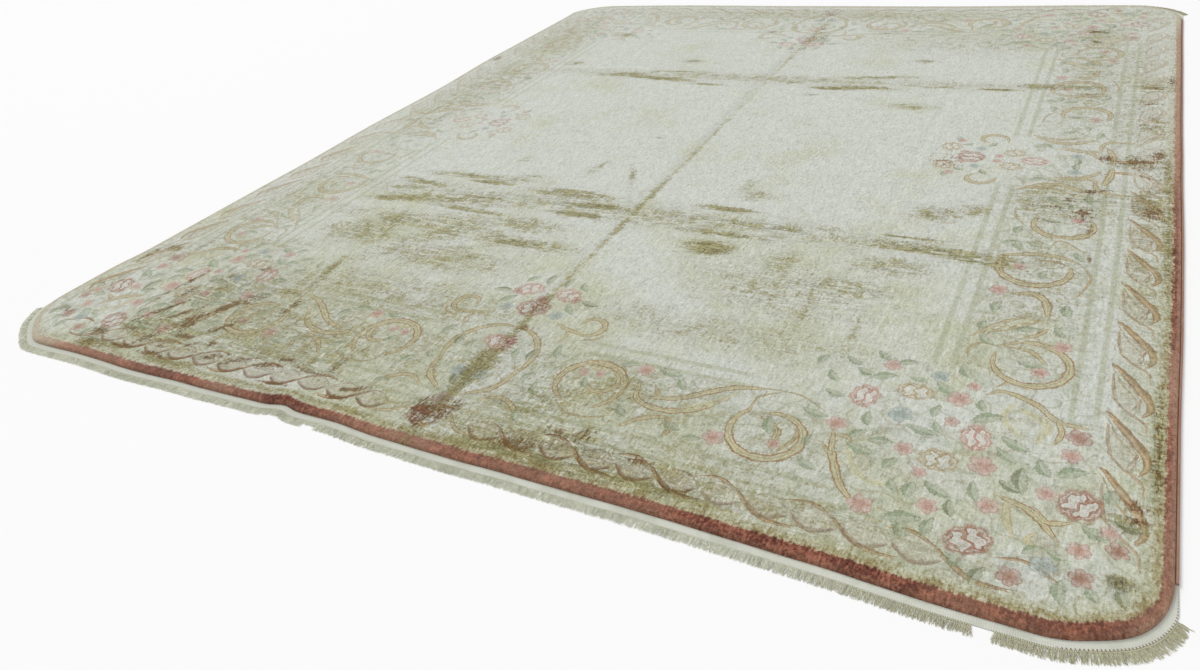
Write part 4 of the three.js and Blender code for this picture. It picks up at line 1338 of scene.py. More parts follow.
    def leaves(self, colour):
        """Toothed leaves with a vein and a lit half, and the eyes of the ribbon."""
        f = self.finish
        along, aside, kind = f.parts(f.attribute("leaf_shape"))
        dye = f.attribute("leaf_dye")
        bent = aside - along * along * 0.35 + 0.12
        teeth = (along * 17 - abs(bent) * 9).wave() * 0.1
        inward = (1 - along * along).clamp() * 0.92 - abs(bent) + self.wobble * 0.8 + teeth
        leaf = f.step(inward, -0.05, 0.08)
        vein = f.line(bent, 0.03, 0.14, 0.6)
        halves = f.step(bent, -0.06, 0.06, 0.0, 0.8)
        leaf_tone = f.mix((halves + vein).clamp(), dye, self.tone("leaf_pale"))
        leaf_tone = f.mix(f.below(inward, 0.06, 0.22, 0.6), leaf_tone, self.tone("moss"))
        outward = aside * self.outward * self.at_end - (1 - self.at_end)
        eye, ring, heart = draw_eye(f, along, aside, outward, self.wobble)
        eye_tone = f.mix(heart * 0.6, f.mix(0.3, self.tone("cream"), dye), self.tone("ribbon"))
        eye_tone = f.mix(ring, eye_tone, f.mix(0.7, dye, self.tone("umber")))
        cover = leaf + (eye * (0.56 + ring * 0.44) - leaf) * kind
        return f.mix(cover * self.rubbed * 0.88, colour, f.mix(kind, leaf_tone, eye_tone))

    def flowers(self, colour):
        """Blossoms and roses: petals with a pale middle and wine-red lines."""
        f = self.finish
        x, y, full = f.parts(f.attribute("flower_shape"))
        x, y = x + self.wobble * 0.5, y - self.wobble * 0.5
        masks = zip(draw_blossom(f, x, y), draw_rose(f, x, y))
        whole, line, pale = [simple + (double - simple) * full for simple, double in masks]
        dye = f.attribute("flower_dye")
        petal = f.mix(0.2, dye, self.tone("cream"))
        petal = f.mix(pale, petal, f.mix(0.5 + full * 0.34, dye, self.tone("chalk")))
        petal = f.mix(line * 0.68, petal, f.mix(0.18, dye, self.tone("wine")))
        return f.mix(whole * self.rubbed * 0.9, colour, petal)

    def edge(self, colour):
        """The red band, the brown strip within it and the olive fuzz that it fades into."""
        f = self.finish
        left_end = self.at_end * f.below(self.x, -0.4, 0.1)
        reach = 0.019 + self.at_end * 0.009 - left_end * 0.004
        inward = self.inset + self.sway(tuft=0.01, fibre=0.014, mottle=0.01) - reach
        patchy = self.blend(tuft=0.24, fibre=0.24, mottle=0.37, cloud=0.15)
        deep = f.mix(f.step(patchy, 0.42, 0.6), self.tone("brick_dark"), self.tone("brick"))
        outer = f.step(self.inset, 0.003, 0.012, 0.9, 0.15) * (1 - self.at_end * 0.7)
        deep = f.mix(outer, deep, self.tone("rim"))
        uneven = self.depth + (patchy - 0.5) * 0.6
        rust = f.mix(f.step(uneven, 0.0, 0.5), self.tone("rim_faded"), self.tone("rim"))
        rust = f.mix(f.step(uneven, 0.45, 0.95), rust, deep)
        shown = f.step(uneven, 0.1, 0.8, 0.1, 1.0) * (1 - left_end * 0.45)
        fuzz = f.below(inward, 0.01, 0.048, 0.62) * shown * f.step(patchy, 0.4, 0.6, 1.0, 0.25)
        strip = f.below(inward, 0.004, 0.022) * shown * f.step(patchy, 0.4, 0.62, 0.85, 0.3)
        colour = f.mix(strip, f.mix(fuzz, colour, self.tone("olive")), self.tone("strip"))
        return f.mix(f.below(inward, -0.003, 0.004), colour, rust)

    def washed(self, colour, share):
        """Olive soiling and painted shade of the creases: a wash that gathers in threads, with a darker
        heart. A share of it lies over the design.
        """
        f = self.finish
        wash = f.step(self.olive * 1.9 - self.rough, 0.1, 0.85)
        dark = f.step(self.blend(fibre=0.3, streak=0.45, tuft=0.25), 0.47, 0.58)
        # The dark heart of the olive: painted shade in the creases, and the darkest soiling.
        heart = f.step(self.olive * 1.2 - self.rough * 0.6, 0.15, 0.95) * dark
        colour = f.mix(self.olive * 0.22 * share, colour, self.tone("olive"))
        colour = f.mix(wash * 0.6 * share, colour, self.tone("olive"))
        return f.mix(heart * 0.6 * share, colour, self.tone("olive_dark"))

    def stains(self, colour):
        """Brown and dark red soiling, and painted shade in dark cracks where the pile has parted."""
        f = self.finish
        fine = f.step(self.blend(streak=0.3, fibre=0.35, tuft=0.2, mottle=0.15), 0.4, 0.6)
        dirt = f.step(self.brown * 1.3 - fine, -0.05, 0.65)
        wine = f.step(self.red * 1.2 - fine, -0.25, 0.6)
        parted = f.step(self.olive + self.brown * 0.6 + self.sway(mottle=1.4), 0.3, 0.85)
        colour = f.mix(dirt * 0.72, colour, self.tone("soil"))
        # Painted shade in the cracks where the pile has parted.
        colour = f.mix(self.cracks * parted * 0.6, colour, self.tone("olive_dark"))
        return f.mix(wine * 0.6, colour, self.tone("wine"))

    def grained(self, colour):
        """The pile's own grain, tuft by tuft, and the lie of the nap, painted lighter and darker: partly the
        yarn's tone, partly painted sheen and shade.
        """
        lie = self.sway(mottle=0.12, nap=0.18, fibre=0.4, grain=0.44, tuft=0.38)
        return self.finish.mix(1.0, colour, self.finish.step(lie, -0.4, 0.4, 0.04, 0.94), "SOFT_LIGHT")

    def paint(self):
        f = self.finish
        colour = self.washed(self.guards(self.ground()), 1.0)
        colour = self.flowers(self.leaves(self.bands(colour)))
        colour = self.washed(self.edge(colour), 0.3)
        colour = self.grained(self.stains(colour))
        relief = f.bump(self.blend(tuft=0.6, grain=0.4), 0.0018, 0.7)
        relief = f.bump(self.blend(streak=0.25, mottle=0.35, nap=0.4), 0.006, 0.6, relief)
        relief = f.bump((self.rough * 0.6 + self.cracks * 0.4) * self.olive * -1.0, 0.005, 0.8, relief)
        roughness = f.step(self.noises["nap"], 0.3, 0.7, 0.9, 0.7)
        return f.set(Base_Color=colour, Roughness=roughness, Normal=relief)


def backing_finish(colours):
    """The underside: rows of knots in undyed yarn."""
    f = Finish("knotted_back", Roughness=0.92)
    rows = f.noise(60, stretch=(1, 8, 1), detail=2.0)
    colour = f.mix(f.step(rows, 0.3, 0.7), tuple(colours.warp), tuple(colours.straw))
    return f.set(Base_Color=colour, Normal=f.bump(rows, 0.001, 0.5))


# The weave's ribs and warps, and the dark dashes along its outer edge, in radians for each metre.
RIB_WAVES = 3200
WARP_WAVES = 1570
DASH_WAVES = 967
DASHES_FROM = (0.0136, 0.0144)


def weave_finish(colours):
    """Plain undyed weave, in ribs along the end, with painted shade towards the left side and dark dashes
    along its outer edge at the near right corner.
    """
    f = Finish("flat_weave", Roughness=0.9, Sheen_Weight=0.1)
    warp, shaded, soil = (tuple(getattr(colours, name)) for name in ("warp", "warp_shade", "soil"))
    u, v, corner = f.parts(f.attribute("weave"))
    ribs, warps = (v * RIB_WAVES).wave(), (u * WARP_WAVES).wave()
    cloud = f.noise(18, detail=4.0)
    specks = f.noise(220, detail=2.0)
    colour = f.mix(f.step(cloud, 0.4, 0.7), warp, shaded)
    colour = f.mix(f.step(specks, 0.55, 0.8, 0.0, 0.35), colour, shaded)
    # Painted shade: the weave darker towards the left side.
    colour = f.mix(f.below(f.parts(f.place())[0], -0.5, 0.6, 0.8), colour, shaded)
    # Dark dashes in the soil tone along the outer edge, near the right corner.
    dashes = f.step((u * DASH_WAVES).wave(), 0.1, 0.5) * f.step(v, *DASHES_FROM) * corner
    colour = f.mix(dashes * 0.8, colour, soil)
    height = ribs * warps * 0.5 + ribs * 0.25
    return f.set(Base_Color=colour, Normal=f.bump(height, 0.0006, 0.7))


def yarn_finish(name, light, dark, scale=260, soiled=None):
    """Spun yarn: fine strands, lighter and darker by turns, and soiled towards the right."""
    f = Finish(name, Roughness=0.9, Sheen_Weight=0.15)
    strand = f.noise(scale, detail=3.0)
    cloud = f.noise(12, detail=3.0)
    colour = f.mix(f.step(strand * 0.6 + cloud * 0.4, 0.32, 0.66), tuple(dark), tuple(light))
    if soiled is not None:
        right = f.parts(f.place())[0]
        colour = f.mix(f.step(right + (cloud - 0.5) * 0.3, 0.8, 1.3, 0.0, 0.8), colour, tuple(soiled))
    return f.set(Base_Color=colour, Normal=f.bump(strand, 0.0005, 0.6))


# Geometry Nodes


class Growth:
    """A Geometry Nodes tree built in the script, with named inputs."""

    def __init__(self, name, inputs):
        self.tree = bpy.data.node_groups.new(name, "GeometryNodeTree")
        panel = self.tree.interface
        panel.new_socket("Geometry", in_out="INPUT", socket_type="NodeSocketGeometry")
        self.identifiers = {}
        for label, kind in inputs.items():
            socket = panel.new_socket(label, in_out="INPUT", socket_type="NodeSocket" + kind)
            self.identifiers[label] = socket.identifier
        panel.new_socket("Geometry", in_out="OUTPUT", socket_type="NodeSocketGeometry")
        self.source = self.tree.nodes.new("NodeGroupInput").outputs
        self.output = self.tree.nodes.new("NodeGroupOutput")

    def add(self, kind, settings=None, sockets=None, output=0):
        """A node of a type, with its settings and then the values or links of its sockets. It returns one of
        the node's outputs, by place or by name."""
        node = self.tree.nodes.new(kind)
        for key, value in (settings or {}).items():
            setattr(node, key, value)
        for key, value in (sockets or {}).items():
            match = [s for s in node.inputs if key in (s.name, s.identifier) and s.enabled]
            socket = match[0] if match else node.inputs[int(key)]
            for item in value if isinstance(value, list) else [value]:
                if isinstance(item, bpy.types.NodeSocket):
                    self.tree.links.new(item, socket)
                else:
                    socket.default_value = item
        return node.outputs[output]

    def maths(self, operation, *values):
        sockets = {str(i): value for i, value in enumerate(values)}
        return self.add("ShaderNodeMath", {"operation": operation}, sockets)

    def vector(self, **parts):
        return self.add("ShaderNodeCombineXYZ", {}, parts)

    def attribute(self, name):
        return self.add("GeometryNodeInputNamedAttribute", {"data_type": "FLOAT"}, {"Name": name})

    def turned(self, angle):
        """A turn about the upright axis."""
        return self.add("FunctionNodeEulerToRotation", {}, {"Euler": self.vector(Z=angle)})

    def circle(self, resolution, radius):
        sockets = {"Resolution": resolution, "Radius": radius}
        return self.add("GeometryNodeCurvePrimitiveCircle", {"mode": "RADIUS"}, sockets)

    def finish(self, geometry, material):
        realized = self.add("GeometryNodeRealizeInstances", {}, {"Geometry": geometry})
        painted = self.add("GeometryNodeSetMaterial", {}, {"Geometry": realized, "Material": material})
        self.tree.links.new(painted, self.output.inputs[0])

    def grow(self, host, values, name):
        """Runs the tree on a host object and gives the result as a plain mesh object."""
        modifier = host.modifiers.new("growth", "NODES")
        modifier.node_group = self.tree
        for label, value in values.items():
            modifier[self.identifiers[label]] = value
        bpy.context.view_layer.update()
        evaluated = host.evaluated_get(bpy.context.evaluated_depsgraph_get())
        mesh = bpy.data.meshes.new_from_object(evaluated)
        host.modifiers.remove(modifier)
        bpy.data.objects.remove(host)
        return link(name, mesh)


# A strand leaves its knot, bends to one side and back by shares of its length, and comes down to the floor.
STRAND_POINTS = 4
STRAND_SIDES = 3
STRAND_LIFT = {"start": 0.0018, "first": 0.0026, "second": 0.0004, "end": 0.0006}
STRAND_REACH = 0.45
STRAND_BEND = 0.12
STRAND_BACK = -0.8
STRAND_LEAST = (-1.1, 0.72, 0.8)
STRAND_MOST = (1.1, 1.12, 1.2)
KNOT_SEGMENTS = 5
KNOT_RINGS = 3
KNOT_SHAPE = (0.9, 1.35, 0.85)
KNOT_LIFT = 0.0014


def strand_tree(material):
    """Knots along an end, each with a few loose strands of warp that lie on the floor."""
    inputs = {
        "Strand Length": "Float", "Strand Radius": "Float", "Knot Radius": "Float",
        "Spread": "Float", "Strands": "Int", "Seed": "Int",
    }
    g = Growth("knotted_fringe", inputs)
    length, radius, knot, spread, strands, seed = (g.source[label] for label in inputs)
    half_length = g.maths("MULTIPLY", length, STRAND_REACH)
    bend = g.maths("MULTIPLY", length, STRAND_BEND)
    back = g.maths("MULTIPLY", bend, STRAND_BACK)
    line = g.add("GeometryNodeCurvePrimitiveBezierSegment", {"mode": "POSITION"}, {
        "Resolution": STRAND_POINTS,
        "Start": g.vector(Z=STRAND_LIFT["start"]),
        "Start Handle": g.vector(X=bend, Y=half_length, Z=STRAND_LIFT["first"]),
        "End Handle": g.vector(X=back, Y=half_length, Z=STRAND_LIFT["second"]),
        "End": g.vector(Y=length, Z=STRAND_LIFT["end"]),
    })
    strand = g.add("GeometryNodeCurveToMesh", {}, {
        "Curve": line, "Profile Curve": g.circle(STRAND_SIDES, radius), "Fill Caps": True,
    })
    roots = g.source["Geometry"]
    repeated = {"Geometry": roots, "Amount": strands}
    copies = g.add("GeometryNodeDuplicateElements", {"domain": "POINT"}, repeated)
    facing = g.attribute("facing")
    stray = {"Min_001": -1.0, "Max_001": 1.0, "Seed": seed}
    jitter = g.add("FunctionNodeRandomValue", {"data_type": "FLOAT"}, stray, output=1)
    rotation = g.turned(g.maths("MULTIPLY_ADD", jitter, spread, facing))
    range_of_sizes = {"Min": STRAND_LEAST, "Max": STRAND_MOST, "Seed": seed}
    sizes = g.add("FunctionNodeRandomValue", {"data_type": "FLOAT_VECTOR"}, range_of_sizes)
    worn = {"0": sizes, "Scale": g.attribute("left")}
    shortened = g.add("ShaderNodeVectorMath", {"operation": "SCALE"}, worn)
    hanging = g.add("GeometryNodeInstanceOnPoints", {}, {
        "Points": copies, "Instance": strand, "Rotation": rotation, "Scale": shortened,
    })
    round_knot = {"Segments": KNOT_SEGMENTS, "Rings": KNOT_RINGS, "Radius": knot}
    ball = g.add("GeometryNodeMeshUVSphere", {}, round_knot)
    knots = g.add("GeometryNodeInstanceOnPoints", {}, {
        "Points": roots, "Instance": ball, "Rotation": g.turned(facing), "Scale": KNOT_SHAPE,
    })
    lifted = {"Instances": knots, "Translation": (0, 0, KNOT_LIFT)}
    raised = g.add("GeometryNodeTranslateInstances", {}, lifted)
    g.finish(g.add("GeometryNodeJoinGeometry", {}, {"Geometry": [hanging, raised]}), material)
    return g


STEPS_PER_WRAP = 3.0
CORD_SIDES = 8


def cord_tree(material):
    """Overcast yarn: a tube that follows a line and swells at every turn of the yarn."""
    inputs = {"Cord Radius": "Float", "Wrap Pitch": "Float", "Groove": "Float"}
    g = Growth("overcast_cord", inputs)
    radius, pitch, groove = (g.source[label] for label in inputs)
    step = g.maths("DIVIDE", pitch, STEPS_PER_WRAP)
    line = g.add("GeometryNodeMeshToCurve", {}, {"Mesh": g.source["Geometry"]})
    even = g.add("GeometryNodeResampleCurve", {"mode": "LENGTH"}, {"Curve": line, "Length": step})
    phase = g.maths("DIVIDE", g.add("GeometryNodeSplineParameter", output="Length"), pitch)
    wave = g.maths("COSINE", g.maths("MULTIPLY", phase, math.tau))
    size = g.maths("MULTIPLY", g.maths("MULTIPLY_ADD", wave, groove, 1.0), radius)
    shaped = g.add("GeometryNodeSetCurveRadius", {}, {"Curve": even, "Radius": size})
    tube = g.add("GeometryNodeCurveToMesh", {}, {
        "Curve": shaped, "Profile Curve": g.circle(CORD_SIDES, 1.0),
        "Scale": g.add("GeometryNodeInputRadius"), "Fill Caps": True,
    })
    g.finish(tube, material)
    return g


# Settings


def size_property(label, note, default):
    return bpy.props.FloatProperty(name=label, description=note, default=default, unit="LENGTH")


class RugSizes(bpy.types.PropertyGroup):
    cloth_width: size_property("Width", "Width over the side cords", 3.05)
    cloth_length: size_property("Length", "Length over the flat-woven ends", 3.648)
    pile_height: size_property("Pile height", "From the floor to the top of the pile", 0.011)
    end_web: size_property("Flat-woven end", "How far the flat weave runs past the pile", 0.017)
    web_thickness: size_property("Weave thickness", "Thickness of the flat-woven ends", 0.0022)
    corner_radius: size_property("Corner radius", "Radius of the pile's corners", 0.195)
    cord_diameter: size_property("Cord", "Diameter of the overcast side cords", 0.006)
    sewing_gap: size_property("Gap", "What parts two pieces that lie together", 0.0003)
    strand_length: size_property("Fringe length", "Length of the loose strands", 0.021)
    strand_radius: size_property("Strand radius", "Radius of a loose strand", 0.0006)
    knot_radius: size_property("Knot radius", "Radius of a fringe knot", 0.0017)
    knot_pitch: size_property("Knot pitch", "From one fringe knot to the next", 0.0034)
    wrap_pitch: size_property("Wrap pitch", "From one turn of the side yarn to the next", 0.0042)


def colour_property(label, note, default):
    return bpy.props.FloatVectorProperty(
        name=label, description=note, default=default, subtype="COLOR", size=3, min=0, max=1)


class RugColours(bpy.types.PropertyGroup):
    ivory: colour_property("Ivory", "Ground of field and border", shade(203, 206, 197))
    straw: colour_property("Straw", "Ground where it has yellowed", shade(191, 194, 169))
    chalk: colour_property("Chalk", "Where the nap catches the light", shade(214, 218, 210))
    guard: colour_property("Guard lines", "Pale stripes along the borders", shade(166, 170, 140))
    cream: colour_property("Cream", "Petals and the inside of scrolls", shade(200, 198, 178))
    scroll: colour_property("Scroll", "Outlines of the scrolls", shade(156, 122, 84))
    scroll_fill: colour_property("Scroll fill", "Inside of the scrolls", shade(190, 188, 154))
    acanthus: colour_property("Acanthus", "Lobed leaves of the scrolls", shade(158, 138, 104))
    ribbon: colour_property("Ribbon", "Thin loops and ovals of the twisted ribbon", shade(158, 148, 128))
    thread: colour_property("Thread", "Thin lines between the scrolls", shade(156, 150, 116))
    brown: colour_property("Brown", "Broad bands of the twisted ribbon", shade(146, 120, 84))
    peach: colour_property("Peach", "Small acanthus pieces", shade(188, 166, 132))
    leaf: colour_property("Leaf", "Grey-green leaves", shade(142, 155, 126))
    leaf_pale: colour_property("Pale leaf", "Lit half of a leaf", shade(176, 182, 160))
    moss: colour_property("Moss", "Edges of leaves, and darker leaves", shade(122, 128, 100))
    rose: colour_property("Rose", "Faded pink flowers", shade(182, 134, 122))
    brick: colour_property("Brick", "Red flowers and the edge band", shade(150, 94, 74))
    brick_dark: colour_property("Dark brick", "Deep parts of the edge band", shade(92, 46, 36))
    tan: colour_property("Tan", "Tan roses", shade(168, 148, 108))
    umber: colour_property("Umber", "Darkest flowers and strokes", shade(114, 74, 40))
    blue: colour_property("Blue", "Pale blue flowers", shade(136, 154, 150))
    rim: colour_property("Rim", "The band's lighter outer rim", shade(168, 132, 110))
    rim_faded: colour_property("Faded rim", "The band where it has faded", shade(190, 186, 166))
    strip: colour_property("Strip", "Brown strip within the edge band", shade(150, 134, 88))
    olive: colour_property("Olive", "Worn and soiled pile", shade(160, 153, 96))
    # Dark olive also paints the shade in the creases and in the cracks of the parted pile.
    olive_dark: colour_property("Dark olive", "The heart of a worn patch", shade(112, 105, 56))
    soil: colour_property("Soil", "Brown soiling", shade(112, 74, 30))
    wine: colour_property("Wine", "Dark red soiling", shade(126, 66, 54))
    warp: colour_property("Warp", "Undyed flat weave", shade(216, 218, 206))
    warp_shade: colour_property("Shaded warp", "Undyed yarn in its hollows", shade(200, 203, 188))
    fringe: colour_property("Fringe", "Loose warp strands", shade(244, 245, 226))
    fringe_dark: colour_property("Dark fringe", "Soiled warp strands", shade(206, 209, 184))
    fringe_soiled: colour_property("Soiled fringe", "Warp strands at the right corner", shade(190, 186, 150))
    cord_red: colour_property("Red cord", "Overcast yarn of the right side", shade(166, 134, 112))
    cord_pale: colour_property("Pale cord", "Overcast yarn of the left side", shade(202, 200, 184))


class StageSettings(bpy.types.PropertyGroup):
    floor_size: size_property("Floor", "Side of the square floor", 60)
    floor_colour: colour_property("Floor colour", "Plain pale floor", (0.97, 0.97, 0.97))
    sky: bpy.props.FloatProperty(name="Sky", description="Strength of the light from all round", default=0.66)
    lamp: bpy.props.FloatProperty(name="Lamp", description="Strength of the soft lamp", default=1.7)


# Pieces


def add_attribute(mesh, name, domain, values):
    attribute = mesh.attributes.new(name, "FLOAT_VECTOR", domain)
    attribute.data.foreach_set("vector", np.ascontiguousarray(values, np.float32).ravel())


# The unwrapping: the margin round the top, the top's share of the height, the walls' share of the margin, the
# slack in telling the rim, the underside's share of what is left, and the space beside it.
UV_MARGIN = 0.012
UV_TOP = 0.8
UV_WALL = 0.6
UV_SLACK = 1.01
UV_BELOW = 0.9
UV_SPACE = 0.01


class RUG_OT_knotted_pile(bpy.types.Operator):
    """Makes the knotted pile with its design, its wear and its painted shade and sheen"""

    bl_idname = "rug.knotted_pile"
    bl_label = "Knotted pile"

    def execute(self, context):
        sizes, colours = context.scene.rug_sizes, context.scene.rug_colours
        cloth = Cloth(sizes)
        xs = grid_lines(cloth.half_x, GRID_X)
        ys = grid_lines(cloth.half_y, GRID_Y)
        plan_x, plan_y = round_corners(cloth, *np.meshgrid(xs, ys))
        inset = np.maximum(cloth.inset(plan_x, plan_y), 0)
        roll = np.interp(inset, EDGE_ROLL["inset"], EDGE_ROLL["height"], right=math.inf)
        top = np.minimum(cloth.pile_top(plan_x, plan_y), roll)
        lain_x, lain_y = cloth.lie(plan_x, plan_y)
        points = np.stack([lain_x, lain_y, top], axis=-1).reshape(-1, 3)

        index = np.arange(len(points)).reshape(len(ys), len(xs))
        quads, rim = quads_of(index), rim_of(index)
        low = points[rim] * (1, 1, 0)
        below = len(points) + np.arange(len(rim))
        faces = quads.tolist() + walls_between(rim, below).tolist() + [below[::-1].tolist()]
        finishes = [PileFinish(cloth, colours).paint(), backing_finish(colours)]
        pile = mesh_of("knotted_pile", np.vstack([points, low]), faces, finishes)
        mesh = pile.data
        mesh.polygons[len(faces) - 1].material_index = 1
        mesh.polygons.foreach_set("use_smooth", [True] * (len(faces) - 1) + [False])

        strength, filling = strength_at(plan_x, plan_y), filling_at(cloth, plan_x, plan_y)
        states = {
            "plan": (plan_x * MM, plan_y * MM, inset * MM),
            # Olive, brown and dark red soiling, with painted crease shade in the olive.
            "wear": wear_at(plan_x, plan_y),
            "state": (strength, edge_depth_at(cloth, plan_x, plan_y), filling),
        }
        for name, parts in states.items():
            values = np.stack(parts, axis=-1).reshape(-1, 3)
            add_attribute(mesh, name, "POINT", np.vstack([values, values[rim]]))

        corners = np.stack([plan_x, plan_y], axis=-1).reshape(-1, 2)[quads]
        dyes = {name: tuple(getattr(colours, name)) for name in RugColours.__annotations__}
        bare = np.ones((len(mesh.loops) - quads.size, 1))
        for name, layer in zip(("band", "leaf", "flower"), lay_design(cloth, corners, dyes)):
            shape = np.vstack([layer.shape.reshape(-1, 3), bare * NOWHERE])
            dye = np.vstack([layer.dye.reshape(-1, 3), bare * (0, 0, 0)])
            add_attribute(mesh, name + "_shape", "CORNER", shape)
            add_attribute(mesh, name + "_dye", "CORNER", dye)
        self.unwrap(mesh, xs, ys, quads, rim)
        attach(pile, BODY)
        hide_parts("rug_cloth")
        return {"FINISHED"}

    @staticmethod
    def unwrap(mesh, xs, ys, quads, rim):
        """The top keeps the grid's own plan, with the walls as a narrow frame around it. The underside is a
        strip beside it."""
        u = (xs - xs[0]) / (xs[-1] - xs[0]) * (1 - 2 * UV_MARGIN) + UV_MARGIN
        v = (ys - ys[0]) / (ys[-1] - ys[0]) * (UV_TOP - 2 * UV_MARGIN) + UV_MARGIN
        grid = np.stack(np.meshgrid(u, v), axis=-1).reshape(-1, 2)
        middle = np.array([0.5, UV_TOP / 2])
        on_rim = grid[rim]
        at_edge = np.abs(on_rim - middle) > middle - UV_MARGIN * UV_SLACK
        outer = on_rim + np.sign(on_rim - middle) * UV_MARGIN * UV_WALL * at_edge
        wall = np.stack([on_rim, outer, np.roll(outer, -1, axis=0), np.roll(on_rim, -1, axis=0)], axis=1)
        bottom = on_rim * (1, (1 - UV_TOP) / UV_TOP * UV_BELOW) + (0, UV_TOP + UV_SPACE)
        values = np.vstack([grid[quads].reshape(-1, 2), wall.reshape(-1, 2), bottom[::-1]])
        layer = mesh.uv_layers.new(name="OFBake")
        layer.data.foreach_set("uv", np.ascontiguousarray(values, np.float32).ravel())


# The woven end: its rows by the share of its width, the step along it, where it starts outside the pile, by
# how much it thins towards its outer edge, and how it waves.
WEB_ROWS = (0.0, 0.04, 0.3, 0.6, 0.9, 1.0)
WEB_STEP = 14
WEB_STARTS = 0.2
WEB_THINS = 0.5
WEB_WAVE = 0.18
WEB_WAVE_LENGTH = 23
DASHED_CORNER = (1380, -1600)


class RUG_OT_flat_weave(bpy.types.Operator):
    """Makes the two flat-woven ends"""

    bl_idname = "rug.flat_weave"
    bl_label = "Flat-woven ends"

    def execute(self, context):
        sizes, colours = context.scene.rug_sizes, context.scene.rug_colours
        cloth = Cloth(sizes)
        material = weave_finish(colours)
        for name, end in (("flat_weave_near", -1), ("flat_weave_far", 1)):
            web = self.band(cloth, name, end, material)
            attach(web, BODY)
            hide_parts("rug_cloth")
            length = (2 * cloth.arc_x + math.pi * (cloth.radius + cloth.web / 2)) * MM
        return {"FINISHED"}

    @staticmethod
    def band(cloth, name, end, material):
        inner, outer = (cloth.end_path(outside, WEB_STEP) for outside in (WEB_STARTS, cloth.web))
        run = run_of(outer)
        points, weave = [], []
        for raised in (1, 0):
            for share in WEB_ROWS:
                row = inner + (outer - inner) * share
                x, y = cloth.lie(-end * row[:, 0], end * row[:, 1])
                waviness = WEB_WAVE * np.sin(run / WEB_WAVE_LENGTH + 5 * share)
                z = raised * (cloth.web_thickness - WEB_THINS * share**4 + waviness)
                # Where the dark dashes run, at the near right corner.
                worn = (x > DASHED_CORNER[0]) & (y < DASHED_CORNER[1])
                points.append(np.stack([x, y, z], axis=1))
                weave.append(np.stack([run * MM, np.full(len(run), share * cloth.web * MM), worn], axis=1))
        top, bottom = np.arange(2 * len(WEB_ROWS) * len(run)).reshape(2, len(WEB_ROWS), len(run))
        walls = walls_between(rim_of(top), rim_of(bottom))
        faces = np.vstack([quads_of(top), quads_of(bottom), walls])
        web = mesh_of(name, np.vstack(points), faces.tolist(), [material])
        face_outwards(web)
        add_attribute(web.data, "weave", "POINT", np.vstack(weave))
        return web


def face_outwards(piece):
    """Turns every face of a closed mesh outwards."""
    work = bmesh.new()
    work.from_mesh(piece.data)
    bmesh.ops.recalc_face_normals(work, faces=work.faces)
    work.to_mesh(piece.data)
    work.free()


# Where strands of the near fringe are lost or worn short, and what is left of their length.
WORN_STRANDS = [(1232, 1268, 0.0), (-282, -240, 0.6)]
FRINGE_SEEDS = {"near": 7, "far": 19}
HEADING_MIDDLE = 2.1
CORNER_HANG = 0.75
ROOT_STEP = 2
STRANDS_PER_KNOT = 6
STRAND_SPREAD = 0.3


class RUG_OT_fringe(bpy.types.Operator):
    """Makes the knotted fringe along both ends"""

    bl_idname = "rug.fringe"
    bl_label = "Knotted fringe"

    def execute(self, context):
        sizes, colours = context.scene.rug_sizes, context.scene.rug_colours
        cloth = Cloth(sizes)
        yarn = yarn_finish("fringe_yarn", colours.fringe, colours.fringe_dark, soiled=colours.fringe_soiled)
        tree = strand_tree(yarn)
        for label, end in (("near", -1), ("far", 1)):
            host = self.roots(cloth, end, sizes.knot_pitch / MM)
            values = {
                "Strand Length": sizes.strand_length, "Strand Radius": sizes.strand_radius,
                "Knot Radius": sizes.knot_radius, "Spread": STRAND_SPREAD,
                "Strands": STRANDS_PER_KNOT, "Seed": FRINGE_SEEDS[label],
            }
            fringe = tree.grow(host, values, "fringe_strands_" + label)
            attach(fringe, BODY)
            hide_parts("fringe_" + label)
        return {"FINISHED"}

    @staticmethod
    def roots(cloth, end, pitch):
        """A point for each knot, with the way that its strands hang. At the corners they hang less far round
        than the edge turns."""
        path = cloth.end_path(cloth.web + HEADING_MIDDLE, ROOT_STEP, whole=False)
        run = run_of(path)
        places = np.arange(pitch / 2, run[-1], pitch)
        before, here, after = (
            [np.interp(places + off, run, line) for line in path.T] for off in (-1, 0, 1)
        )
        x, y = here
        turn = np.arctan2(before[1] - after[1], after[0] - before[0]) * CORNER_HANG
        left = np.ones(len(x))
        if end < 0:
            for low, high, share in WORN_STRANDS:
                left[(x > low) & (x < high)] = share
            x, y, turn, left = (values[left > 0] for values in (x, y, turn, left))
            lain = cloth.lie(x, -y)
            facing = math.pi + turn
        else:
            lain = cloth.lie(-x, y)
            facing = turn
        host = mesh_of("roots", np.stack([*lain, np.zeros(len(x))], axis=1), [])
        for name, values in (("facing", facing), ("left", left)):
            attribute = host.data.attributes.new(name, "FLOAT", "POINT")
            attribute.data.foreach_set("value", values.astype(np.float32))
        return host


# The side cords: what they stop short of the corners, the points of their line, and how far a turn of the
# yarn swells about a core that is slimmer than the whole.
CORD_STOPS_SHORT = 0.7
CORD_POINTS = 160
CORD_SLIMNESS = 0.93
CORD_GROOVE = 0.1


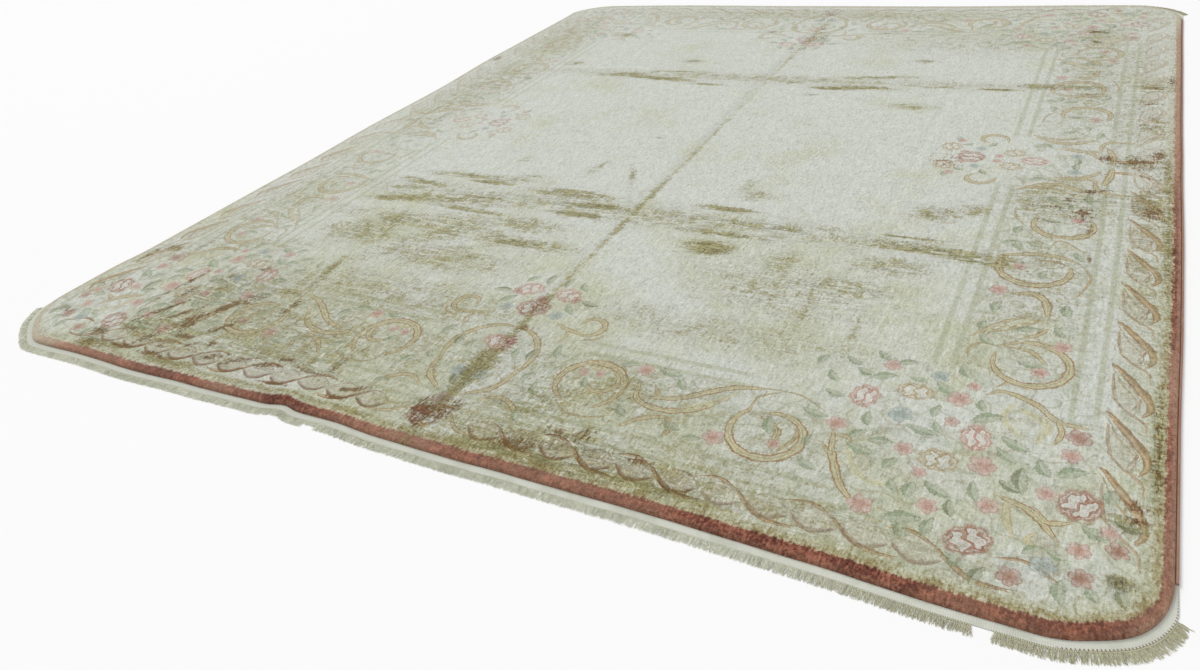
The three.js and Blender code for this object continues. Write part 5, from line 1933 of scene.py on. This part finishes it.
class RUG_OT_side_cords(bpy.types.Operator):
    """Makes the overcast cords along both sides"""

    bl_idname = "rug.side_cords"
    bl_label = "Overcast sides"

    def execute(self, context):
        sizes, colours = context.scene.rug_sizes, context.scene.rug_colours
        cloth = Cloth(sizes)
        radius = cloth.cord / 2
        yarns = {"left": (colours.cord_pale, colours.rim_faded), "right": (colours.cord_red, colours.brick)}
        for label, side in (("left", -1), ("right", 1)):
            tree = cord_tree(yarn_finish("overcast_yarn_" + label, *yarns[label], scale=420))
            ends = cloth.arc_y - CORD_STOPS_SHORT
            y = np.linspace(-ends, ends, CORD_POINTS)
            x = np.full(len(y), side * (cloth.width / 2 - radius))
            points = np.stack([*cloth.lie(x, y), np.full(len(y), radius)], axis=1)
            host = mesh_of("line", points, [], edges=[(i, i + 1) for i in range(len(y) - 1)])
            values = {
                "Cord Radius": radius * MM * CORD_SLIMNESS, "Wrap Pitch": sizes.wrap_pitch,
                "Groove": CORD_GROOVE,
            }
            cord = tree.grow(host, values, "overcast_cord_" + label)
            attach(cord, BODY)
            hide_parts("side_cord_" + label)
        return {"FINISHED"}


class RUG_OT_sheet(bpy.types.Operator):
    """Works out the cloth's sizes, and does nothing more with them"""

    bl_idname = "rug.sheet"
    bl_label = "Cut size"

    def execute(self, context):
        cloth = Cloth(context.scene.rug_sizes)
        return {"FINISHED"}


# The camera as fitted to the photograph: place in metres, turn in degrees, focus in pixels of the image. The
# lamp's turn and breadth are in degrees too.
CAMERA_PLACE = (1.2846, -2.8386, 1.2212)
CAMERA_TURN = (56.539, 7.163, 28.478)
CAMERA_FOCUS = 871.99
IMAGE_WIDTH = 1200
SENSOR = 36
CLIP = (0.02, 200)
LAMP_TURN = (0, -52, -35)
LAMP_SIZE = 24
FLOOR_DROP = 0.2


def turned_by(angles):
    return Euler([math.radians(angle) for angle in angles])


class RUG_OT_stage(bpy.types.Operator):
    """Makes the floor, the light and the camera"""

    bl_idname = "rug.stage"
    bl_label = "Stage"

    def execute(self, context):
        scene = context.scene
        settings = scene.rug_stage
        half = settings.floor_size / 2 / MM
        corners = [(x * half, y * half, -FLOOR_DROP) for x, y in ((-1, -1), (1, -1), (1, 1), (-1, 1))]
        finish = Finish("pale_floor", Roughness=0.9, Specular_IOR_Level=0.1)
        material = finish.set(Base_Color=tuple(settings.floor_colour))
        floor = mesh_of("floor", corners, [(0, 1, 2, 3)], [material])

        world = bpy.data.worlds.new("studio")
        world.use_nodes = True
        background = world.node_tree.nodes["Background"]
        background.inputs["Color"].default_value = (1, 1, 1, 1)
        background.inputs["Strength"].default_value = settings.sky
        scene.world = world

        light = bpy.data.lights.new("soft_lamp", "SUN")
        light.energy, light.angle = settings.lamp, math.radians(LAMP_SIZE)
        link("soft_lamp", light).rotation_euler = turned_by(LAMP_TURN)

        view = bpy.data.cameras.new("camera")
        view.sensor_width = SENSOR
        view.lens = CAMERA_FOCUS / IMAGE_WIDTH * SENSOR
        view.clip_start, view.clip_end = CLIP
        camera = link("camera", view)
        shift_x, shift_y = Cloth(scene.rug_sizes).shift * MM
        camera.location = (CAMERA_PLACE[0] + shift_x, CAMERA_PLACE[1] + shift_y, CAMERA_PLACE[2])
        camera.rotation_euler = turned_by(CAMERA_TURN)
        scene.camera = camera
        scene.view_settings.view_transform = "Standard"
        return {"FINISHED"}


class RUG_PT_pieces(bpy.types.Panel):
    """Lists the pieces of the rug"""

    bl_idname = "RUG_PT_pieces"
    bl_label = "Oushak rug"
    bl_space_type = "VIEW_3D"
    bl_region_type = "UI"
    bl_category = "Rug"

    def draw(self, context):
        for operator in PIECES:
            self.layout.operator(operator.bl_idname)


GROUPS = [("rug_sizes", RugSizes), ("rug_colours", RugColours), ("rug_stage", StageSettings)]
PIECES = [
    RUG_OT_stage, RUG_OT_knotted_pile, RUG_OT_flat_weave, RUG_OT_fringe, RUG_OT_side_cords, RUG_OT_sheet,
]


def register():
    for name, group in GROUPS:
        bpy.utils.register_class(group)
        setattr(bpy.types.Scene, name, bpy.props.PointerProperty(type=group))
    for item in [*PIECES, RUG_PT_pieces]:
        bpy.utils.register_class(item)


def unregister():
    for item in [RUG_PT_pieces, *reversed(PIECES)]:
        bpy.utils.unregister_class(item)
    for name, group in reversed(GROUPS):
        delattr(bpy.types.Scene, name)
        bpy.utils.unregister_class(group)


def main():
    register()
    bpy.ops.rug.stage()
    bpy.ops.rug.knotted_pile()
    bpy.ops.rug.flat_weave()
    bpy.ops.rug.fringe()
    bpy.ops.rug.side_cords()
    bpy.ops.rug.sheet()


if __name__ == "__main__":
    main()
